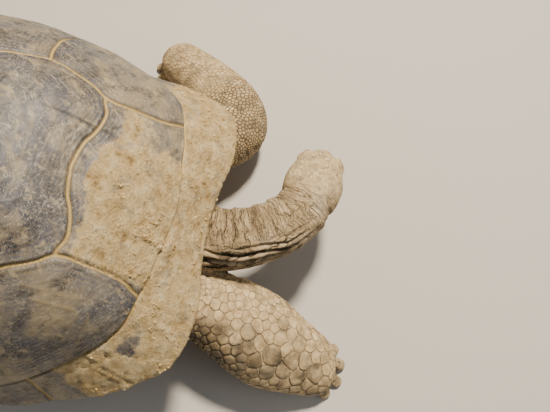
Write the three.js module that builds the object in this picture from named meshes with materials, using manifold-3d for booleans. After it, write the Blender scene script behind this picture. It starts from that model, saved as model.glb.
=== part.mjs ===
// A giant tortoise at rest: domed shell with raised scutes, plastron flat on the floor, neck stretched out
// and turned to the animal's left, right foreleg reaching forward, left foreleg folded out to the side.
// Millimetres, +Z up, front towards -Y, the animal's left towards +X. The origin is on the floor, under
// the middle of the shell.
import * as THREE from "three";
import Module from "manifold-3d";

const wasm = await Module();
wasm.setup();

// ---------- driving dimensions ----------
const GAP = 0.3; // clearance that touching nodes keep
const OUTLINE_STEP = 0.16; // spacing of the points along a scute's seams, on a dome whose radius is 1
const SHELL_HALF_LENGTH = 530;
const SHELL_HALF_WIDTH = 361;
const SHELL_TOP = 497; // core's crown; the scutes stand a little higher
const SHELL_SQUARENESS = 2.3; // exponent of the outline's superellipse
const SHELL_WALL = 17;
const SHELL_TAPER = 0.035; // how much narrower the front is than the back
const DOME_SHARE = 0.8; // share of rho that the dome takes; the marginals take the rest
const SCUTE_LIFT = 4.5;
const SCUTE_BOSS = 5; // extra height in the middle of each big scute
const SCUTE_SINK = 6;
const MARGINAL_LIFT = 4;
const MARGINAL_BOSS = 1.5;
const SEAM_HALF_WIDTH = 3.2;
const PLASTRON_THICK = 20;
const PLASTRON_PLATE = 1.5;
const HEAD_LENGTH = 142;
const EYE_RADIUS = 12.5;

// Rows of [degrees round from the front, value], the same on both sides.
const RIM_REACH = [
  [0, 0.88], [9, 0.905], [19, 0.99], [28, 1.04], [50, 1.0], [90, 1.0], [130, 1.0], [150, 1.02], [180, 1.0],
];
const RIM_HEIGHT = [
  [0, 262], [20, 255], [35, 215], [55, 150], [80, 115],
  [100, 110], [125, 130], [150, 155], [170, 130], [180, 115],
];
const SEAM_REACH = [
  [0, 0.912], [20, 0.835], [35, 0.86], [55, 0.93], [80, 0.94],
  [100, 0.94], [130, 0.93], [150, 0.9], [180, 0.91],
];
const SEAM_HEIGHT = [
  [0, 335], [20, 325], [35, 285], [55, 235], [80, 200], [100, 195], [130, 215], [150, 235], [180, 230],
];
const DOME_FULLNESS = [[0, 1.05], [25, 1.15], [60, 1.5], [90, 1.68], [130, 1.65], [180, 1.5]];
const DOME_POWER = 2.3; // how squarely the dome's side turns down to the seam above the marginals
const LOBE_REACH = [
  [0, 425], [12, 432], [22, 402], [32, 348], [44, 318],
  [90, 320], [134, 330], [150, 392], [165, 412], [180, 392],
];

const RAD = Math.PI / 180;
const V = (x, y, z) => new THREE.Vector3(x, y, z);
const mix = (a, b, t) => a + (b - a) * t;
const clamp = (x, lo, hi) => Math.min(hi, Math.max(lo, x));
const bend = (c, exponent) => Math.sign(c) * Math.abs(c) ** (2 / exponent); // a superellipse's side
const awayFromFront = (alpha) => Math.abs(((((alpha / RAD + 180) % 360) + 360) % 360) - 180); // degrees
const smooth = (a, b, x) => {
  const t = clamp((x - a) / (b - a), 0, 1);
  return t * t * (3 - 2 * t);
};

// A smooth curve through rows of [place, value], level at both ends.
function curve(rows, x) {
  const last = rows.length - 1;
  let i = 1;
  while (i < last && x > rows[i][0]) i++;
  const slope = (k) => {
    if (k <= 0 || k >= last) return 0;
    return (rows[k + 1][1] - rows[k - 1][1]) / (rows[k + 1][0] - rows[k - 1][0]);
  };
  const span = rows[i][0] - rows[i - 1][0];
  const t = clamp((x - rows[i - 1][0]) / span, 0, 1);
  const [t2, t3] = [t * t, t * t * t];
  return (
    (2 * t3 - 3 * t2 + 1) * rows[i - 1][1] +
    (t3 - 2 * t2 + t) * span * slope(i - 1) +
    (3 * t2 - 2 * t3) * rows[i][1] +
    (t3 - t2) * span * slope(i)
  );
}
const around = (alpha, rows) => curve(rows, awayFromFront(alpha));

// ---------- solids ----------
function solidOf(points, faces) {
  const make = (list) =>
    new wasm.Manifold(
      new wasm.Mesh({
        numProp: 3,
        vertProperties: new Float32Array(points.flatMap((p) => [p.x, p.y, p.z])),
        triVerts: new Uint32Array(list.flat()),
      }),
    );
  const made = make(faces);
  return made.volume() > 0 ? made : make(faces.map(([a, b, c]) => [a, c, b]));
}

// A closed solid through rings of points. A ring has as many points as its neighbour, half or twice as
// many, or one point for a pole, and an open end gets a flat cap.
function loft(rings) {
  const points = [];
  const first = [];
  for (const ring of rings) {
    first.push(points.length);
    points.push(...ring);
  }
  const faces = [];
  const next = (n, i) => (i + 1) % n;
  for (let k = 0; k + 1 < rings.length; k++) {
    const n = Math.max(rings[k].length, rings[k + 1].length);
    const place = (ring, i) => first[ring] + Math.floor((i * rings[ring].length) / n);
    for (let i = 0; i < n; i++) {
      const j = next(n, i);
      const [a, b, c, d] = [place(k, i), place(k, j), place(k + 1, j), place(k + 1, i)];
      if (a !== b) faces.push([a, b, c]);
      if (c !== d) faces.push([a, c, d]);
    }
  }
  const cap = (k, turned) => {
    if (rings[k].length === 1) return;
    const n = rings[k].length;
    const middle = rings[k].reduce((s, p) => s.add(p), V(0, 0, 0)).divideScalar(n);
    points.push(middle);
    for (let i = 0; i < n; i++) {
      const face = [points.length - 1, first[k] + next(n, i), first[k] + i];
      faces.push(turned ? [face[0], face[2], face[1]] : face);
    }
  };
  cap(0, false);
  cap(rings.length - 1, true);
  return solidOf(points, faces);
}

const biggest = (solid) => solid.decompose().reduce((a, b) => (b.volume() > a.volume() ? b : a));
const joined = (solids) => biggest(solids.reduce((a, b) => a.add(b)));
const without = (solid, ...cutters) => biggest(cutters.reduce((a, b) => a.subtract(b), solid));
const above = (solid, z) => biggest(solid.trimByPlane([0, 0, 1], z));

// ---------- shell ----------
const rimReach = (alpha) => {
  const halfWidth = SHELL_HALF_WIDTH * (1 - SHELL_TAPER * Math.cos(alpha));
  const n = SHELL_SQUARENESS;
  const across = Math.abs(Math.sin(alpha) / halfWidth) ** n;
  const along = Math.abs(Math.cos(alpha) / SHELL_HALF_LENGTH) ** n;
  return (across + along) ** (-1 / n) * around(alpha, RIM_REACH);
};
const seamReach = (alpha) => rimReach(alpha) * around(alpha, SEAM_REACH);

// The shell's outer surface as [reach, height] at a bearing; rho runs from 0 at the crown to 1 at the rim.
function shellProfile(alpha, rho) {
  const seamZ = around(alpha, SEAM_HEIGHT);
  if (rho <= DOME_SHARE) {
    const h = Math.sin(((rho / DOME_SHARE) * Math.PI) / 2);
    const rise = Math.max(0, 1 - h ** DOME_POWER) ** (1 / around(alpha, DOME_FULLNESS));
    return [h * seamReach(alpha), mix(seamZ, SHELL_TOP, rise)];
  }
  const s = (rho - DOME_SHARE) / (1 - DOME_SHARE);
  return [mix(seamReach(alpha), rimReach(alpha), s), mix(seamZ, around(alpha, RIM_HEIGHT), s)];
}
const onBearing = (alpha, [reach, height]) => V(reach * Math.sin(alpha), -reach * Math.cos(alpha), height);
const shellPoint = (alpha, rho) => onBearing(alpha, shellProfile(alpha, rho));

function profileNormal(alpha, rho) {
  const step = 0.01;
  const a = shellProfile(alpha, Math.max(0, rho - step));
  const b = shellProfile(alpha, Math.min(1, rho + step));
  const length = Math.hypot(b[0] - a[0], b[1] - a[1]);
  return [-(b[1] - a[1]) / length, (b[0] - a[0]) / length];
}
const offsetProfile = (alpha, rho, out) => {
  const [reach, height] = shellProfile(alpha, rho);
  const n = profileNormal(alpha, rho);
  return rho === 0 ? [0, height + out] : [reach + n[0] * out, height + n[1] * out];
};

// A solid swept round the shell's upright axis. Its section at each bearing is two lists of [reach,
// height]: the outer one from the axis to the rim, at every bearing, and the inner one back again, at
// every bearing or only every second one.
function sweptRound(section, steps, stride = 1) {
  const bearings = Array.from({ length: steps }, (_, i) => (i / steps) * 2 * Math.PI);
  const sections = bearings.map((alpha) =>
    section(alpha).map((part) => part.map((point) => onBearing(alpha, point))),
  );
  const [outer, inner] = sections[0];
  const sparse = sections.filter((_, i) => i % stride === 0);
  return loft([
    ...outer.map((point, k) => (k === 0 ? [point] : sections.map((s) => s[0][k]))),
    ...inner.map((point, k) => (k === inner.length - 1 ? [point] : sparse.map((s) => s[1][k]))),
  ]);
}

const SHELL_STEPS = 48;
const OUTER_RHO = [0, 0.14, 0.28, 0.41, 0.53, 0.63, 0.72, 0.8, 0.9, 1];
const INNER_RHO = [0.94, 0.82, 0.72, 0.6, 0.44, 0.24, 0];
const RIM_LIP = [[4, 4], [12, 3]]; // how far in from the outer face and out past the rim the lip's edges are

function shellCore(grow) {
  return sweptRound(
    (alpha) => {
      const rim = shellProfile(alpha, 1);
      const n = profileNormal(alpha, 1);
      const lip = RIM_LIP.map(([inward, past]) => [
        rim[0] - n[0] * inward + n[1] * (past + grow),
        rim[1] - n[1] * inward - n[0] * (past + grow),
      ]);
      return [
        [...OUTER_RHO.map((rho) => offsetProfile(alpha, rho, grow)), ...lip],
        INNER_RHO.map((rho) => offsetProfile(alpha, rho, -SHELL_WALL - grow)),
      ];
    },
    SHELL_STEPS,
    2,
  );
}

// The dome's map: a disc whose middle is the crown and whose edge is the seam above the marginals.
const discPoint = (u, v) => {
  const t = Math.min(1, Math.hypot(u, v));
  return [Math.atan2(u, -v), t * DOME_SHARE];
};
const discOfPlan = (x, y) => {
  const alpha = Math.atan2(x, -y);
  const t = (Math.asin(Math.min(1, Math.hypot(x, y) / seamReach(alpha))) * 2) / Math.PI;
  return [t * Math.sin(alpha), -t * Math.cos(alpha)];
};
const discOfBearing = (degrees) => [Math.sin(degrees * RAD), -Math.cos(degrees * RAD)];

function surfaceNormal(surface, u, v) {
  const step = 0.01;
  const du = surface(u + step, v).sub(surface(u - step, v));
  const dv = surface(u, v + step).sub(surface(u, v - step));
  return du.cross(dv).normalize();
}

// A plate raised on a surface over a star-shaped outline of [u, v] points.
function plateOn(surface, outline, rings, shape) {
  const middle = [0, 1].map((axis) => outline.reduce((sum, p) => sum + p[axis], 0) / outline.length);
  const centre = surface(...middle);
  const upright = surfaceNormal(surface, ...middle).multiplyScalar(shape.facing ?? 1);
  const point = (k, i, out) => {
    const t = k / rings;
    const [u, v] = [mix(middle[0], outline[i][0], t), mix(middle[1], outline[i][1], t)];
    const p = surface(u, v);
    const n = surfaceNormal(surface, u, v);
    if (n.dot(upright) < 0) n.negate();
    const inset = centre.clone().sub(p).setLength(shape.inset * t);
    return p.add(inset).addScaledVector(n, out);
  };
  const ring = (k, out) => outline.map((_, i) => point(k, i, out));
  const crowned = (k) => shape.lift + shape.boss * (1 - (k / rings) ** 2);
  const top = Array.from({ length: rings }, (_, k) => ring(k + 1, crowned(k + 1)));
  const crown = centre.clone().addScaledVector(upright, shape.lift + shape.boss);
  const under = Array.from({ length: rings }, (_, k) => ring(rings - k, -shape.sink));
  const foot = centre.clone().addScaledVector(upright, -shape.sink);
  return loft([[crown], ...top, ...under, [foot]]);
}

// Points along the edges between corners of the disc map. An edge between two corners on its rim follows
// the rim.
function discOutline(corners, spacing) {
  const points = [];
  corners.forEach((a, i) => {
    const b = corners[(i + 1) % corners.length];
    const onRim = Math.hypot(...a) > 0.999 && Math.hypot(...b) > 0.999;
    const count = Math.max(2, Math.round(Math.hypot(b[0] - a[0], b[1] - a[1]) / spacing));
    for (let k = 0; k < count; k++) {
      const t = k / count;
      const p = [mix(a[0], b[0], t), mix(a[1], b[1], t)];
      const stretch = onRim ? 1 / Math.hypot(...p) : 1;
      points.push([p[0] * stretch, p[1] * stretch]);
    }
  });
  return points;
}

const mirrored = (corners) => corners.map(([u, v]) => [-u, v]).reverse();

// Corners of the seams on the left half, in plan millimetres or as bearings on the seam above the marginals.
const SEAMS = {
  first: discOfBearing(20.5),
  v12: discOfPlan(132, -285),
  v12middle: discOfPlan(0, -272),
  v2side: discOfPlan(167, -190),
  v23: discOfPlan(135, -92),
  v3side: discOfPlan(170, 2),
  v34: discOfPlan(130, 92),
  v4side: discOfPlan(152, 170),
  v45: discOfPlan(98, 255),
  last: discOfBearing(162),
  c12: discOfBearing(59),
  c23: discOfBearing(89),
  c34: discOfBearing(120),
};

function scuteOutlines() {
  const s = SEAMS;
  const whole = (left, front = [], back = []) => [...left, ...front, ...mirrored(left), ...back];
  const vertebrals = [
    whole([s.v12, s.first], [], [s.v12middle]),
    whole([s.v23, s.v2side, s.v12], [s.v12middle]),
    whole([s.v34, s.v3side, s.v23]),
    whole([s.v45, s.v4side, s.v34]),
    whole([s.last, s.v45]),
  ];
  const costals = [
    [s.first, s.v12, s.v2side, s.c12, discOfBearing(40)],
    [s.c12, s.v2side, s.v23, s.v3side, s.c23, discOfBearing(74)],
    [s.c23, s.v3side, s.v34, s.v4side, s.c34, discOfBearing(104)],
    [s.c34, s.v4side, s.v45, s.last, discOfBearing(140)],
  ];
  return [...vertebrals, ...costals, ...costals.map(mirrored)];
}

// Bearings of the seams between marginals on one side. The first ends the nuchal scute and the last starts
// the tail scute.
const MARGINAL_BEARINGS = [3.5, 13, 24, 37, 51, 65, 79, 93, 107, 121, 136, 151, 166];
const MARGINAL_RHO = { inner: 0.803, middle: 0.9, rim: 1 };

function marginalOutlines() {
  const seams = [...MARGINAL_BEARINGS.map((b) => -b).reverse(), ...MARGINAL_BEARINGS];
  const { inner, middle, rim } = MARGINAL_RHO;
  return seams.map((from, i) => {
    const to = i + 1 < seams.length ? seams[i + 1] : seams[0] + 360;
    const across = [0, 0.5, 1].map((t) => mix(from, to, t) * RAD);
    return [
      ...across.map((alpha) => [alpha, inner]),
      [to * RAD, middle],
      ...across.reverse().map((alpha) => [alpha, rim]),
      [from * RAD, middle],
    ];
  });
}

function carapace() {
  const dome = (u, v) => shellPoint(...discPoint(u, v));
  const big = { lift: SCUTE_LIFT, boss: SCUTE_BOSS, sink: SCUTE_SINK, inset: SEAM_HALF_WIDTH };
  const small = { ...big, lift: MARGINAL_LIFT, boss: MARGINAL_BOSS, inset: SEAM_HALF_WIDTH * 0.8 };
  return joined([
    shellCore(0),
    ...scuteOutlines().map((corners) => plateOn(dome, discOutline(corners, OUTLINE_STEP), 2, big)),
    ...marginalOutlines().map((outline) => plateOn(shellPoint, outline, 1, small)),
  ]);
}

// ---------- plastron ----------
// The bridge joins the plastron to the shell's rim between the legs. The share is 1 there and 0 on the
// front and back lobes.
const bridgeShare = (alpha) => {
  const degrees = awayFromFront(alpha);
  return smooth(38, 62, degrees) * (1 - smooth(112, 140, degrees));
};
const LOBE = { top: 38, foot: 16, rise: 55 }; // heights of a lobe's edge, and how wide its rise is
const BRIDGE = { inset: 3, drop: 4.6, depth: 22, flat: 240 }; // set in and down from the rim
const PLASTRON_WALL = { edge: 14, flat: 8 };
const PLASTRON_EDGE = 2;

function plastronCore(grow) {
  return sweptRound((alpha) => {
    const bridge = bridgeShare(alpha);
    const edge = mix(around(alpha, LOBE_REACH), rimReach(alpha) - BRIDGE.inset, bridge);
    const reach = edge + grow;
    const inner = edge - PLASTRON_WALL.edge - grow;
    const edgeTop = mix(LOBE.top, around(alpha, RIM_HEIGHT) - BRIDGE.drop, bridge);
    const edgeFoot = mix(LOBE.foot, edgeTop - BRIDGE.depth, bridge);
    const flat = mix(reach - LOBE.rise, BRIDGE.flat, bridge);
    const innerFlat = flat - PLASTRON_WALL.flat - grow;
    const foot = PLASTRON_PLATE;
    const bowl = [0, 0.55, 1].map((s) => (s * Math.PI) / 2);
    const outside = bowl.map((t) => [
      flat + (reach - flat) * Math.sin(t),
      foot + (edgeFoot - foot) * (1 - Math.cos(t)),
    ]);
    const inside = bowl.reverse().map((t) => [
      innerFlat + (inner - innerFlat) * Math.sin(t),
      PLASTRON_THICK + grow + (edgeTop - PLASTRON_THICK) * (1 - Math.cos(t)),
    ]);
    return [
      [[0, foot], ...outside, [reach, edgeTop - PLASTRON_EDGE], [reach - PLASTRON_EDGE, edgeTop]],
      [...inside, [0, PLASTRON_THICK + grow]],
    ];
  }, SHELL_STEPS);
}

// The flat that the animal rests on is five pairs of plates, each as front y, back y and the half widths
// there, and a middle pair that wear has made one.
const PLASTRON_PAIRS = [
  [-372, -318, 118, 150],
  [-318, -232, 150, 205],
  [-232, -160, 205, 226],
  [90, 215, 226, 200],
  [215, 325, 196, 118],
];
const PLASTRON_MIDDLE = { front: -160, back: 90, half: 232 };
const PLASTRON_SEAM = 2;

function plastronPlate(corners) {
  return loft([0, PLASTRON_THICK / 2].map((z) => corners.map(([x, y]) => V(x, y, z))));
}

function plastron() {
  const seam = PLASTRON_SEAM;
  const pairs = PLASTRON_PAIRS.flatMap(([front, back, frontHalf, backHalf]) =>
    [1, -1].map((side) =>
      plastronPlate([
        [side * seam, front + seam],
        [side * frontHalf, front + seam],
        [side * backHalf, back - seam],
        [side * seam, back - seam],
      ]),
    ),
  );
  const { front, back, half } = PLASTRON_MIDDLE;
  const middle = plastronPlate([
    [-half, front + seam],
    [half, front + seam],
    [half, back - seam],
    [-half, back - seam],
  ]);
  return joined([plastronCore(0), middle, ...pairs]);
}

// ---------- torso ----------
const TORSO_RHO = INNER_RHO.filter((rho) => rho <= 0.6); // where it lies against the shell's inside
const TORSO_BELLY = [[0, 372], [25, 366], [55, 330], [90, 308], [125, 325], [155, 385], [180, 408]];
const TORSO_FOOT = 12;
const TORSO_ROUND = 60; // how far the belly draws in at its foot

function torsoCore(grow) {
  return sweptRound((alpha) => {
    const top = TORSO_RHO.map((rho) => offsetProfile(alpha, rho, grow - SHELL_WALL - GAP));
    const [reach, height] = top[0];
    const belly = around(alpha, TORSO_BELLY) + grow;
    const foot = belly - TORSO_ROUND;
    const bulge = 2 * belly - (reach + foot) / 2;
    const side = [1, 0.67, 0.33].map((t) => [
      (1 - t) ** 2 * reach + 2 * t * (1 - t) * bulge + t * t * foot,
      mix(height, TORSO_FOOT, t),
    ]);
    return [[[0, TORSO_FOOT], ...side], top];
  }, SHELL_STEPS / 2);
}

// ---------- limbs, neck and tail ----------
// A limb is a list of stations, each the middle's x, y and z, the half width and the half thickness.
const UP = V(0, 0, 1);
const LIMB_SQUARENESS = 2.4;
const LIMB_MESH = { rings: 12, sides: 12 };
const NECK_MESH = { rings: 24, sides: 14 };
const TAIL_MESH = { rings: 10, sides: 10 };

function limbPath(stations) {
  const column = (pick) => stations.map(pick);
  const columns = {
    x: column((s) => s[0]),
    y: column((s) => s[1]),
    z: column((s) => s[2]),
    wide: column((s) => s[3]),
    thick: column((s) => s[4]),
  };
  const last = stations.length - 1;
  const spline = (values, t) => {
    const i = clamp(Math.floor(t), 0, last - 1);
    const f = t - i;
    const before = i > 0 ? values[i - 1] : 2 * values[0] - values[1];
    const after = i + 2 <= last ? values[i + 2] : 2 * values[last] - values[last - 1];
    const [a, b, c, d] = [before, values[i], values[i + 1], after];
    return b + 0.5 * f * (c - a + f * (2 * a - 5 * b + 4 * c - d + f * (3 * (b - c) + d - a)));
  };
  const middle = (t) => V(spline(columns.x, t), spline(columns.y, t), spline(columns.z, t));
  return (s) => {
    const t = clamp(s, 0, 1) * last;
    const step = 0.05;
    const forward = middle(Math.min(last, t + step))
      .sub(middle(Math.max(0, t - step)))
      .normalize();
    const side = forward.clone().cross(UP).normalize();
    const lift = side.clone().cross(forward).normalize();
    const [wide, thick] = [spline(columns.wide, t), spline(columns.thick, t)];
    return { middle: middle(t), forward, side, lift, wide, thick };
  };
}

// A limb's skin at s along it and theta round it: theta 0 is its right side and 90 degrees its upper face.
const limbSurface = (path, fold = () => 1) => (s, theta) => {
  const at = path(s);
  const size = fold(s, theta);
  return at.middle
    .clone()
    .addScaledVector(at.side, at.wide * size * bend(Math.cos(theta), LIMB_SQUARENESS))
    .addScaledVector(at.lift, at.thick * size * bend(Math.sin(theta), LIMB_SQUARENESS));
};

function limbSolid(path, { rings, sides }, grow = 0, fold) {
  const skin = limbSurface(path, fold);
  const list = [];
  for (let k = 0; k <= rings; k++) {
    const s = k / rings;
    const { middle } = path(s);
    list.push(
      Array.from({ length: sides }, (_, i) => {
        const p = skin(s, (i / sides) * 2 * Math.PI);
        return p.addScaledVector(p.clone().sub(middle).normalize(), grow);
      }),
    );
  }
  return loft(list);
}

const FORELEG_RIGHT = limbPath([
  [-120, -300, 130, 58, 62],
  [-106, -400, 134, 62, 62],
  [-102, -470, 130, 67, 60],
  [-122, -545, 112, 80, 58],
  [-144, -606, 84, 83, 53],
  [-156, -660, 55, 70, 47],
  [-162, -702, 35, 58, 40],
  [-163, -731, 20, 46, 26],
]);
const FORELEG_LEFT = limbPath([
  [160, -280, 130, 56, 60],
  [196, -360, 130, 60, 60],
  [236, -424, 116, 62, 60],
  [284, -456, 94, 62, 58],
  [338, -434, 76, 61, 56],
  [384, -376, 64, 59, 54],
  [424, -322, 50, 52, 48],
  [450, -286, 40, 45, 43],
  [466, -264, 30, 29, 28],
]);
const hindPath = (side) =>
  limbPath([
    [side * 130, 240, 120, 62, 55],
    [side * 190, 300, 105, 66, 56],
    [side * 245, 352, 92, 66, 55],
    [side * 285, 405, 72, 60, 52],
    [side * 306, 452, 46, 56, 48],
    [side * 318, 486, 24, 50, 36],
    [side * 324, 506, 14, 36, 22],
  ]);
const TAIL = limbPath([
  [0, 330, 100, 52, 46],
  [4, 400, 84, 42, 36],
  [10, 455, 58, 30, 26],
  [18, 500, 32, 20, 17],
  [24, 530, 16, 11, 10],
]);
const NECK = limbPath([
  [0, -280, 160, 62, 58],
  [0, -370, 174, 62, 60],
  [3, -450, 186, 60, 58],
  [12, -515, 194, 56, 54],
  [36, -570, 198, 53, 50],
  [72, -612, 200, 52, 47],
  [112, -634, 196, 49, 42],
]);
const NECK_FOLDS = { count: 9, depth: 0.022, slant: 1.2 };
const neckFold = (s, theta) => {
  const phase = s * 2 * Math.PI * NECK_FOLDS.count + NECK_FOLDS.slant * Math.sin(theta);
  return 1 + NECK_FOLDS.depth * Math.sin(phase) * smooth(0.2, 0.4, s);
};

// ---------- head ----------
const HEAD_AT = V(104, -631, 200);
const HEAD_TURN = 83; // degrees from straight ahead towards the animal's left
const HEAD_PITCH = -20;
// Rows of [place along the head from the neck, size]: half width, height above the axis, depth below it.
const HEAD_WIDTH = [
  [0, 50], [20, 55], [44, 57], [68, 53], [90, 45], [106, 35], [122, 24], [135, 15], [142, 7],
];
const HEAD_ROOF = [[0, 34], [25, 38], [55, 39], [85, 37], [105, 32], [122, 24], [135, 14], [142, 4]];
const HEAD_JAW = [[0, 36], [25, 40], [50, 40], [80, 35], [105, 32], [125, 29], [137, 25], [142, 18]];
const MOUTH_LINE = [[54, -24], [76, -19], [105, -16], [142, -15]];
const EYE_PLACE = { along: 94, up: 12 };
const EYE_SINK = 0.55; // share of its radius that the eye is set into the head's side
const NOSTRIL = { along: 138.5, out: 6, up: 6, radii: [5, 2.6, 3] };
const DRUM = { along: 32, out: 54.2, up: -4, radii: [14, 3.6, 15] };
const BROW = { along: 91, out: 31.5, up: 24, radii: [22, 9, 8] };

const headTurn = new THREE.Euler(0, -HEAD_PITCH * RAD, (HEAD_TURN - 90) * RAD, "ZYX");
const headFrame = new THREE.Matrix4().makeRotationFromEuler(headTurn).setPosition(HEAD_AT);
const placed = (solid) => solid.transform(headFrame.elements);

// A section of the head, looking along it: flat above, full at the cheeks.
const HEAD_SQUARENESS = { side: 2.5, roof: 2.6, jaw: 2.2 };

function headSkin(along, theta, grow) {
  const [wide, roof, jaw] = [HEAD_WIDTH, HEAD_ROOF, HEAD_JAW].map((rows) => curve(rows, along) + grow);
  const [c, s] = [Math.cos(theta), Math.sin(theta)];
  const height = s > 0 ? roof * bend(s, HEAD_SQUARENESS.roof) : jaw * bend(s, HEAD_SQUARENESS.jaw);
  return V(along, wide * bend(c, HEAD_SQUARENESS.side), height);
}

function headCore(grow) {
  const places = [0, 12, 26, 42, 58, 72, 84, 95, 106, 115, 123, 130, 136, 140, HEAD_LENGTH];
  const angles = Array.from({ length: 18 }, (_, i) => (i / 18) * 2 * Math.PI);
  return loft(places.map((x) => angles.map((theta) => headSkin(x, theta, grow))));
}

// A bar bent round the snout that cuts the mouth's line.
const MOUTH = { depth: 3.5, halfHeight: 1.3, past: 8 };

function mouthCutter() {
  const places = [56, 68, 80, 91, 101, 110, 118, 126, 133, 139];
  const section = (inner, outer, z) => {
    const [low, high] = [z - MOUTH.halfHeight, z + MOUTH.halfHeight];
    return [V(...inner, low), V(...outer, low), V(...outer, high), V(...inner, high)];
  };
  const cheek = (x, side) => {
    const z = curve(MOUTH_LINE, x);
    const wide = curve(HEAD_WIDTH, x) * (1 - 0.1 * (z / 30) ** 2);
    return section([x, side * (wide - MOUTH.depth)], [x, side * (wide + MOUTH.past)], z);
  };
  const [inside, outside] = [HEAD_LENGTH - MOUTH.depth - 1, HEAD_LENGTH + MOUTH.past + 2];
  return loft([
    ...places.map((x) => cheek(x, 1)),
    section([inside, 0], [outside, 0], curve(MOUTH_LINE, HEAD_LENGTH)),
    ...places.reverse().map((x) => cheek(x, -1)),
  ]);
}

function ball(centre, radii, wide = 12, high = 7) {
  const at = (polar, angle) =>
    V(
      centre.x + radii[0] * Math.sin(polar) * Math.cos(angle),
      centre.y + radii[1] * Math.sin(polar) * Math.sin(angle),
      centre.z + radii[2] * Math.cos(polar),
    );
  const rings = Array.from({ length: high + 1 }, (_, k) => {
    const count = k === 0 || k === high ? 1 : wide;
    return Array.from({ length: count }, (_, i) => at((k / high) * Math.PI, (i / wide) * 2 * Math.PI));
  });
  return loft(rings);
}

const eyeCentre = (side) => {
  const { along, up } = EYE_PLACE;
  return V(along, side * (curve(HEAD_WIDTH, along) * 0.95 - EYE_RADIUS * EYE_SINK), up);
};

// A ring of thick skin round the eye. It is longer than high, so that the lids nearly meet at its corners.
const LID = { halfLength: 14, halfHeight: 9.5, out: 8.5, thick: 4.2, steps: 12, sides: 6 };

function lidRing(side) {
  const middle = eyeCentre(side);
  const rings = Array.from({ length: LID.steps }, (_, i) => {
    const angle = (i / LID.steps) * 2 * Math.PI;
    const outward = V(Math.cos(angle), 0, Math.sin(angle));
    const spot = outward.clone().multiply(V(LID.halfLength, 0, LID.halfHeight)).add(middle);
    spot.y += side * LID.out;
    return Array.from({ length: LID.sides }, (_, k) => {
      const turn = (k / LID.sides) * 2 * Math.PI;
      const bulge = V(0, side * LID.thick * Math.sin(turn), 0);
      return spot.clone().addScaledVector(outward, LID.thick * Math.cos(turn)).add(bulge);
    });
  });
  return closedLoop(rings);
}

// A solid tube that runs back into its own start.
function closedLoop(rings) {
  const n = rings[0].length;
  const faces = [];
  rings.forEach((_, k) => {
    const next = (k + 1) % rings.length;
    for (let i = 0; i < n; i++) {
      const j = (i + 1) % n;
      faces.push([k * n + i, k * n + j, next * n + j], [k * n + i, next * n + j, next * n + i]);
    }
  });
  return solidOf(rings.flat(), faces);
}

function head() {
  const pair = ({ along, out, up, radii }, wide, high) =>
    [1, -1].map((side) => ball(V(along, side * out, up), radii, wide, high));
  const nostrils = pair(NOSTRIL, 8, 6);
  const drums = pair(DRUM, 10, 4);
  const brows = pair(BROW, 10, 6);
  const lids = [1, -1].map(lidRing);
  const eyes = [1, -1].map((side) => {
    const r = EYE_RADIUS + GAP;
    return ball(eyeCentre(side), [r, r, r]);
  });
  return without(joined([headCore(0), ...drums, ...lids, ...brows]), mouthCutter(), ...nostrils, ...eyes);
}

// ---------- claws and scales ----------
const CLAW = { halfWidth: 12, halfThick: 8, hook: 0.12 }; // the hook is a share of the claw's length
const TOE = { back: 12, up: 2, radii: [21, 12.5, 14] };

// A blunt claw from inside its toe to its tip, hooked down a little.
function clawSolid(root, tip, grow = 0) {
  const forward = tip.clone().sub(root).normalize();
  const side = forward.clone().cross(UP).normalize();
  const lift = side.clone().cross(forward).normalize();
  const reach = tip.distanceTo(root);
  const stations = [
    { t: -0.5, size: 0.7, end: -grow },
    { t: 0.3, size: 1, end: 0 },
    { t: 0.8, size: 0.85, end: 0 },
    { t: 1, size: 0.55, end: grow },
  ];
  const corners = Array.from({ length: 6 }, (_, i) => (i / 6) * 2 * Math.PI);
  return loft(
    stations.map(({ t, size, end }) =>
      corners.map((angle) => {
        const across = (CLAW.halfWidth * size + grow) * Math.cos(angle);
        const up = (CLAW.halfThick * size + grow) * Math.sin(angle) - reach * CLAW.hook * t * t;
        const along = root.clone().addScaledVector(forward, reach * t + end);
        return along.addScaledVector(side, across).addScaledVector(lift, up);
      }),
    ),
  );
}

// The swelling of the foot that carries a claw.
function toeSolid({ root, way }) {
  const turn = new THREE.Matrix4().makeBasis(way, UP.clone().cross(way), UP);
  turn.setPosition(root.clone().addScaledVector(way, -TOE.back).addScaledVector(UP, TOE.up));
  return ball(V(0, 0, 0), TOE.radii, 6, 3).transform(turn.elements);
}

// Claws stand round the front edge of a foot: the point where each leaves the skin, its way and its tip.
function clawPlaces(path, foot) {
  const at = path(foot.along);
  const ahead = V(at.forward.x, at.forward.y, 0).normalize();
  const side = ahead.clone().cross(UP);
  return Array.from({ length: foot.count }, (_, i) => {
    const angle = (foot.turn + mix(-foot.spread, foot.spread, i / (foot.count - 1))) * RAD;
    const way = ahead.clone().multiplyScalar(Math.cos(angle)).addScaledVector(side, Math.sin(angle));
    const root = at.middle.clone().addScaledVector(way, foot.radius).setZ(foot.height);
    return { root, way, tip: root.clone().addScaledVector(way, foot.length).setZ(foot.height * 0.55) };
  });
}

// Big scales on a forearm, in staggered rows of low six-sided plates. They cover the stretch from one place
// along the limb to another, and from one angle round it to another, in degrees.
const SCALE = { lift: 2.6, boss: 1.6, sink: 6, inset: 1.4, spread: 0.54, stretch: 1.1 };

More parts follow.
